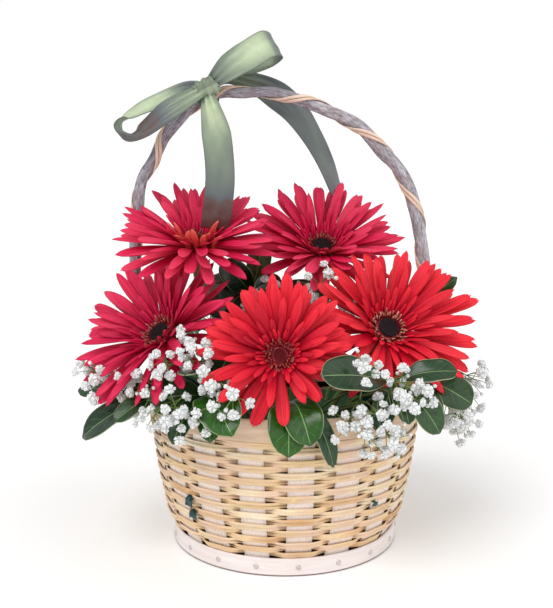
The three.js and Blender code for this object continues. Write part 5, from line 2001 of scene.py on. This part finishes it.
@dataclass(frozen=True)
class Spray:
    """Spray of gypsophila: its foot, fork, seed, the ends of its branches and the florets at each."""

    name: str
    foot: Foot
    fork: Triple
    seed: int
    tips: tuple[Triple, ...]
    florets: int = 7


SPRAYS = (
    Spray("gypsophila_left", Foot(-50, -4, (-0.5, 0, 1)), (-100, -30, 124), 3, (
        (-130, -52, 134), (-124, -50, 122), (-112, -56, 134), (-136, -22, 130), (-120, -30, 116),
    )),
    Spray("gypsophila_front_left", Foot(-42, -40, (-0.3, -0.4, 1)), (-72, -78, 120), 5, (
        (-90, -80, 128), (-66, -100, 110), (-84, -94, 116), (-98, -70, 122), (-70, -102, 122),
    )),
    Spray("gypsophila_front_middle", Foot(-18, -44, (-0.1, -0.3, 1)), (-36, -84, 126), 7, (
        (-44, -106, 140), (-34, -110, 130), (-48, -106, 122),
    )),
    Spray("gypsophila_over_left", Foot(-26, -20, (-0.2, -0.2, 1)), (-52, -56, 140), 9, (
        (-66, -78, 160), (-60, -90, 150), (-78, -84, 146),
    )),
    Spray("gypsophila_right", Foot(22, -44, (0.2, -0.4, 1)), (48, -84, 122), 13, (
        (40, -104, 110), (58, -106, 118), (52, -108, 104), (50, -112, 150), (68, -104, 100),
    )),
    Spray("gypsophila_right_upper", Foot(24, -28, (0.2, -0.2, 1)), (52, -66, 128), 17, (
        (80, -98, 136), (74, -106, 128), (84, -92, 126),
    )),
    Spray("gypsophila_far_right", Foot(48, 16, (0.5, 0.2, 1)), (110, 14, 124), 19, (
        (134, -16, 108), (126, -30, 94), (120, -40, 100), (138, -8, 118), (126, -20, 84),
    )),
    Spray("gypsophila_middle", Foot(4, 0, (0, 0, 1)), (8, 4, 150), 29, (
        (-6, 0, 172), (15, -14, 190), (30, -37, 199), (42, -22, 186), (-16, -8, 182),
    ), florets=4),
    Spray("gypsophila_back_right", Foot(14, 44, (0.2, 0.4, 1)), (52, 82, 132), 31, (
        (72, 102, 138), (46, 108, 128), (60, 96, 158),
    )),
    Spray("gypsophila_back_left", Foot(-20, 44, (-0.2, 0.4, 1)), (-48, 80, 130), 43, (
        (-62, 100, 144), (-34, 106, 134), (-90, 84, 142),
    )),
)


@dataclass
class Gypsophila(Part):
    """Sprays of double white florets on thin forked stems."""

    basket: Basket
    stem_radius: float = 1.0
    branch_radius: float = 0.6
    floret_radius: float = 3.9
    bud_radius: float = 1.5
    buds_a_tip: int = 3
    spread: float = 15.0
    attempts: int = 90
    taken: list[tuple[Vector, float]] = field(default_factory=list)

    def floret_shape(self, seed: int) -> Mesh:
        """Returns a double floret: a ball crumpled into short ragged petals, flatter at its back, with
        painted shade in the hollows between them.
        """
        chance = Random(seed)
        piece = Piece("floret_shape")
        # The ball's own corners, sunk between the knobs, get a greyer tone: painted shade in the hollows.
        for corner in bmesh.ops.create_icosphere(piece.bm, subdivisions=1, radius=0.72)["verts"]:
            corner[piece.tone] = 0.5
        knobs = list(piece.bm.faces)
        bmesh.ops.inset_individual(piece.bm, faces=knobs, thickness=0.09, depth=0.36)
        for knob in knobs:
            push = knob.normal * chance.uniform(-0.16, 0.14)
            for corner in knob.verts:
                stray = Vector([chance.uniform(-1, 1) for _ in range(3)])
                corner.co += push + 0.1 * stray
                corner[piece.tone] = chance.uniform(0, 0.15)
        for corner in piece.bm.verts:
            corner.co.z *= 0.55 if corner.co.z < 0 else 0.9
        return piece.to_mesh("floret_shape")

    def bud_shape(self) -> Mesh:
        """Returns a closed bud."""
        piece = Piece("bud_shape")
        for corner in bmesh.ops.create_icosphere(piece.bm, subdivisions=1, radius=1.0)["verts"]:
            corner.co.z *= 1.25
            corner[piece.tone] = 1.0 if corner.co.z < 0 else 0.2
        return piece.to_mesh("bud_shape")

    def is_free(self, spot: Vector, radius: float, owner: str) -> bool:
        """True where a floret at a spot touches nothing."""
        if any((spot - other).length < 0.86 * (radius + size) for other, size in self.taken):
            return False
        return not self.thicket.is_near(spot, radius * 0.92, owner)

    def add_branch(
        self, piece: Piece, spray: Spray, tip: Vector, chance: Random,
        shapes: Sequence[Mesh],
    ) -> None:
        """Adds a branch from the fork with a cluster of florets and buds round its tip.

        Args:
            piece: The spray's piece.
            spray: The spray.
            tip: Where the branch ends.
            chance: The spray's random draws.
            shapes: Meshes of a bud and of single florets.
        """
        fork = Vector(spray.fork)
        sag = Vector((chance.uniform(-2, 2), chance.uniform(-2, 2), chance.uniform(1, 4)))
        branch = Line((fork, fork.lerp(tip, 0.5) + sag, tip))
        piece.tube(branch, lambda v: self.branch_radius * (1 - 0.4 * v), 5, 10, tone=0.3, material=1)
        ahead = (tip - fork).normalized()
        placed = 0
        for _ in range(self.attempts):
            if placed >= spray.florets + self.buds_a_tip:
                break
            bud = placed >= spray.florets
            stray = Vector([chance.gauss(0, 0.5) for _ in range(3)])
            spot = tip + ahead * chance.uniform(-5, 5) + stray * self.spread
            size, least, most = (self.bud_radius, 0.8, 1.2) if bud else (self.floret_radius, 0.75, 1.15)
            radius = size * chance.uniform(least, most)
            if (spot - tip).length > self.spread or not self.is_free(spot, radius, spray.name):
                continue
            leave = branch.at(chance.choice((0.62, 0.8, 0.97)))
            way = (spot - leave).normalized() if (spot - leave).length > 0.5 else ahead
            facing = (way + stray * 0.5 + Vector((0, -0.25, 0.2))).normalized()
            stalk = Line((leave, leave.lerp(spot, 0.55) + UP * 0.8, spot - facing * radius * 0.3))
            piece.tube(stalk, lambda v: 0.32 - 0.08 * v, 4, 3, tone=0.5, material=1)
            spin = Matrix.Rotation(chance.uniform(0, FULL_TURN), 4, "Z")
            place = Matrix.Translation(spot) @ faced(facing) @ spin @ Matrix.Scale(radius, 4)
            piece.add_copy(shapes[0] if bud else chance.choice(shapes[1:]), place)
            self.taken.append((spot, radius))
            placed += 1

    def build_spray(self, spray: Spray, shapes: Sequence[Mesh]) -> None:
        """One spray, with the meshes of a bud and of single florets."""
        chance = Random(spray.seed)
        piece = Piece(f"{spray.name}_florets", owner=spray.name)
        line = Line([*spray.foot.points(self.basket.foam_top), spray.fork])
        piece.tube(line, lambda v: self.stem_radius * (1 - 0.35 * v), 7, 26, tone=0.2, material=1)
        for tip in spray.tips:
            self.add_branch(piece, spray, Vector(tip), chance, shapes)
        self.set_down(piece, ("floret_white", "stem_green"), "floret_white", spray.name)

    def build(self) -> None:
        """Builds every spray."""
        shapes = [self.bud_shape(), *(self.floret_shape(seed) for seed in range(1, 6))]
        for spray in SPRAYS:
            self.build_spray(spray, shapes)
        for shape in shapes:
            bpy.data.meshes.remove(shape)


@dataclass(frozen=True)
class Sun:
    """Even light from one side: the way that it comes from, its strength and its spread in degrees."""

    name: str
    place: Triple
    strength: float
    spread: float


@dataclass
class Studio:
    """Pale floor, soft lamps and the camera at the photograph's angle."""

    palette: Palette
    camera_place: Triple = (-0.006, -0.700, 0.287)
    pitch: float = 9.29
    lens: float = 57.67
    suns: tuple[Sun, ...] = (
        Sun("key", (-0.5, -0.75, 1.1), 1.5, 40.0),
        Sun("fill", (0.9, -0.5, 0.6), 0.7, 70.0),
    )
    sky: float = 0.6
    floor_radius: float = 60.0
    floor_drop: float = 0.0002

    def build_camera(self) -> None:
        """Adds the camera and makes it the scene's own."""
        data = bpy.data.cameras.new("camera")
        data.sensor_width = 36.0
        data.lens = self.lens
        camera = add_object("camera", data)
        camera.location = self.camera_place
        camera.rotation_euler = (math.radians(90 - self.pitch), 0, 0)
        bpy.context.scene.camera = camera

    def build_sun(self, sun: Sun) -> None:
        """Adds one light."""
        data = bpy.data.lights.new(sun.name, "SUN")
        data.energy = sun.strength
        data.angle = math.radians(sun.spread)
        light = add_object(sun.name, data)
        light.rotation_euler = (-Vector(sun.place)).to_track_quat("-Z", "Y").to_euler()

    def build_floor(self) -> None:
        """Adds the floor as a wide disc."""
        bm = bmesh.new()
        bmesh.ops.create_circle(bm, cap_ends=True, segments=96, radius=self.floor_radius)
        mesh = bpy.data.meshes.new("floor")
        bm.to_mesh(mesh)
        bm.free()
        mesh.materials.append(self.palette.made["floor_pale"])
        floor = add_object("floor", mesh)
        floor.location.z = -self.floor_drop
        floor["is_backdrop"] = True

    def build_sky(self) -> None:
        """Sets an even white sky and plain colour handling."""
        world = bpy.data.worlds.new("white")
        world.use_nodes = True
        tree = Tree(world.node_tree)
        seen = tree.add("LightPath").outputs["Is Camera Ray"]
        sheet = world.node_tree.nodes["Background"]
        sheet.inputs["Color"].default_value = (1, 1, 1, 1)
        tree.feed(sheet.inputs["Strength"], tree.sum("MAXIMUM", seen, self.sky))
        scene = bpy.context.scene
        scene.world = world
        scene.view_settings.view_transform = "Standard"


def note_size() -> None:
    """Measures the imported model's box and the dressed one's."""
    boxes = {"cad": CAD_BOX, "visual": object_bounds()}
    plain = {name: [list(corner) for corner in box] for name, box in boxes.items()}


def main() -> None:
    """Builds the camera, the arrangement from the basket up, and the rest of the studio."""
    logging.basicConfig(level=logging.INFO, format="%(message)s")
    palette = build_palette()
    thicket = Thicket()
    studio = Studio(palette)
    studio.build_camera()
    basket = Basket(palette, thicket)
    basket.build()
    handle = Handle(palette, thicket)
    handle.build()
    Bow(palette, thicket, handle).build()
    Gerberas(palette, thicket, basket).build()
    Foliage(palette, thicket, basket).build()
    Gypsophila(palette, thicket, basket).build()
    studio.build_floor()
    studio.build_sky()
    for sun in studio.suns:
        studio.build_sun(sun)
    note_size()


if __name__ == "__main__":
    main()
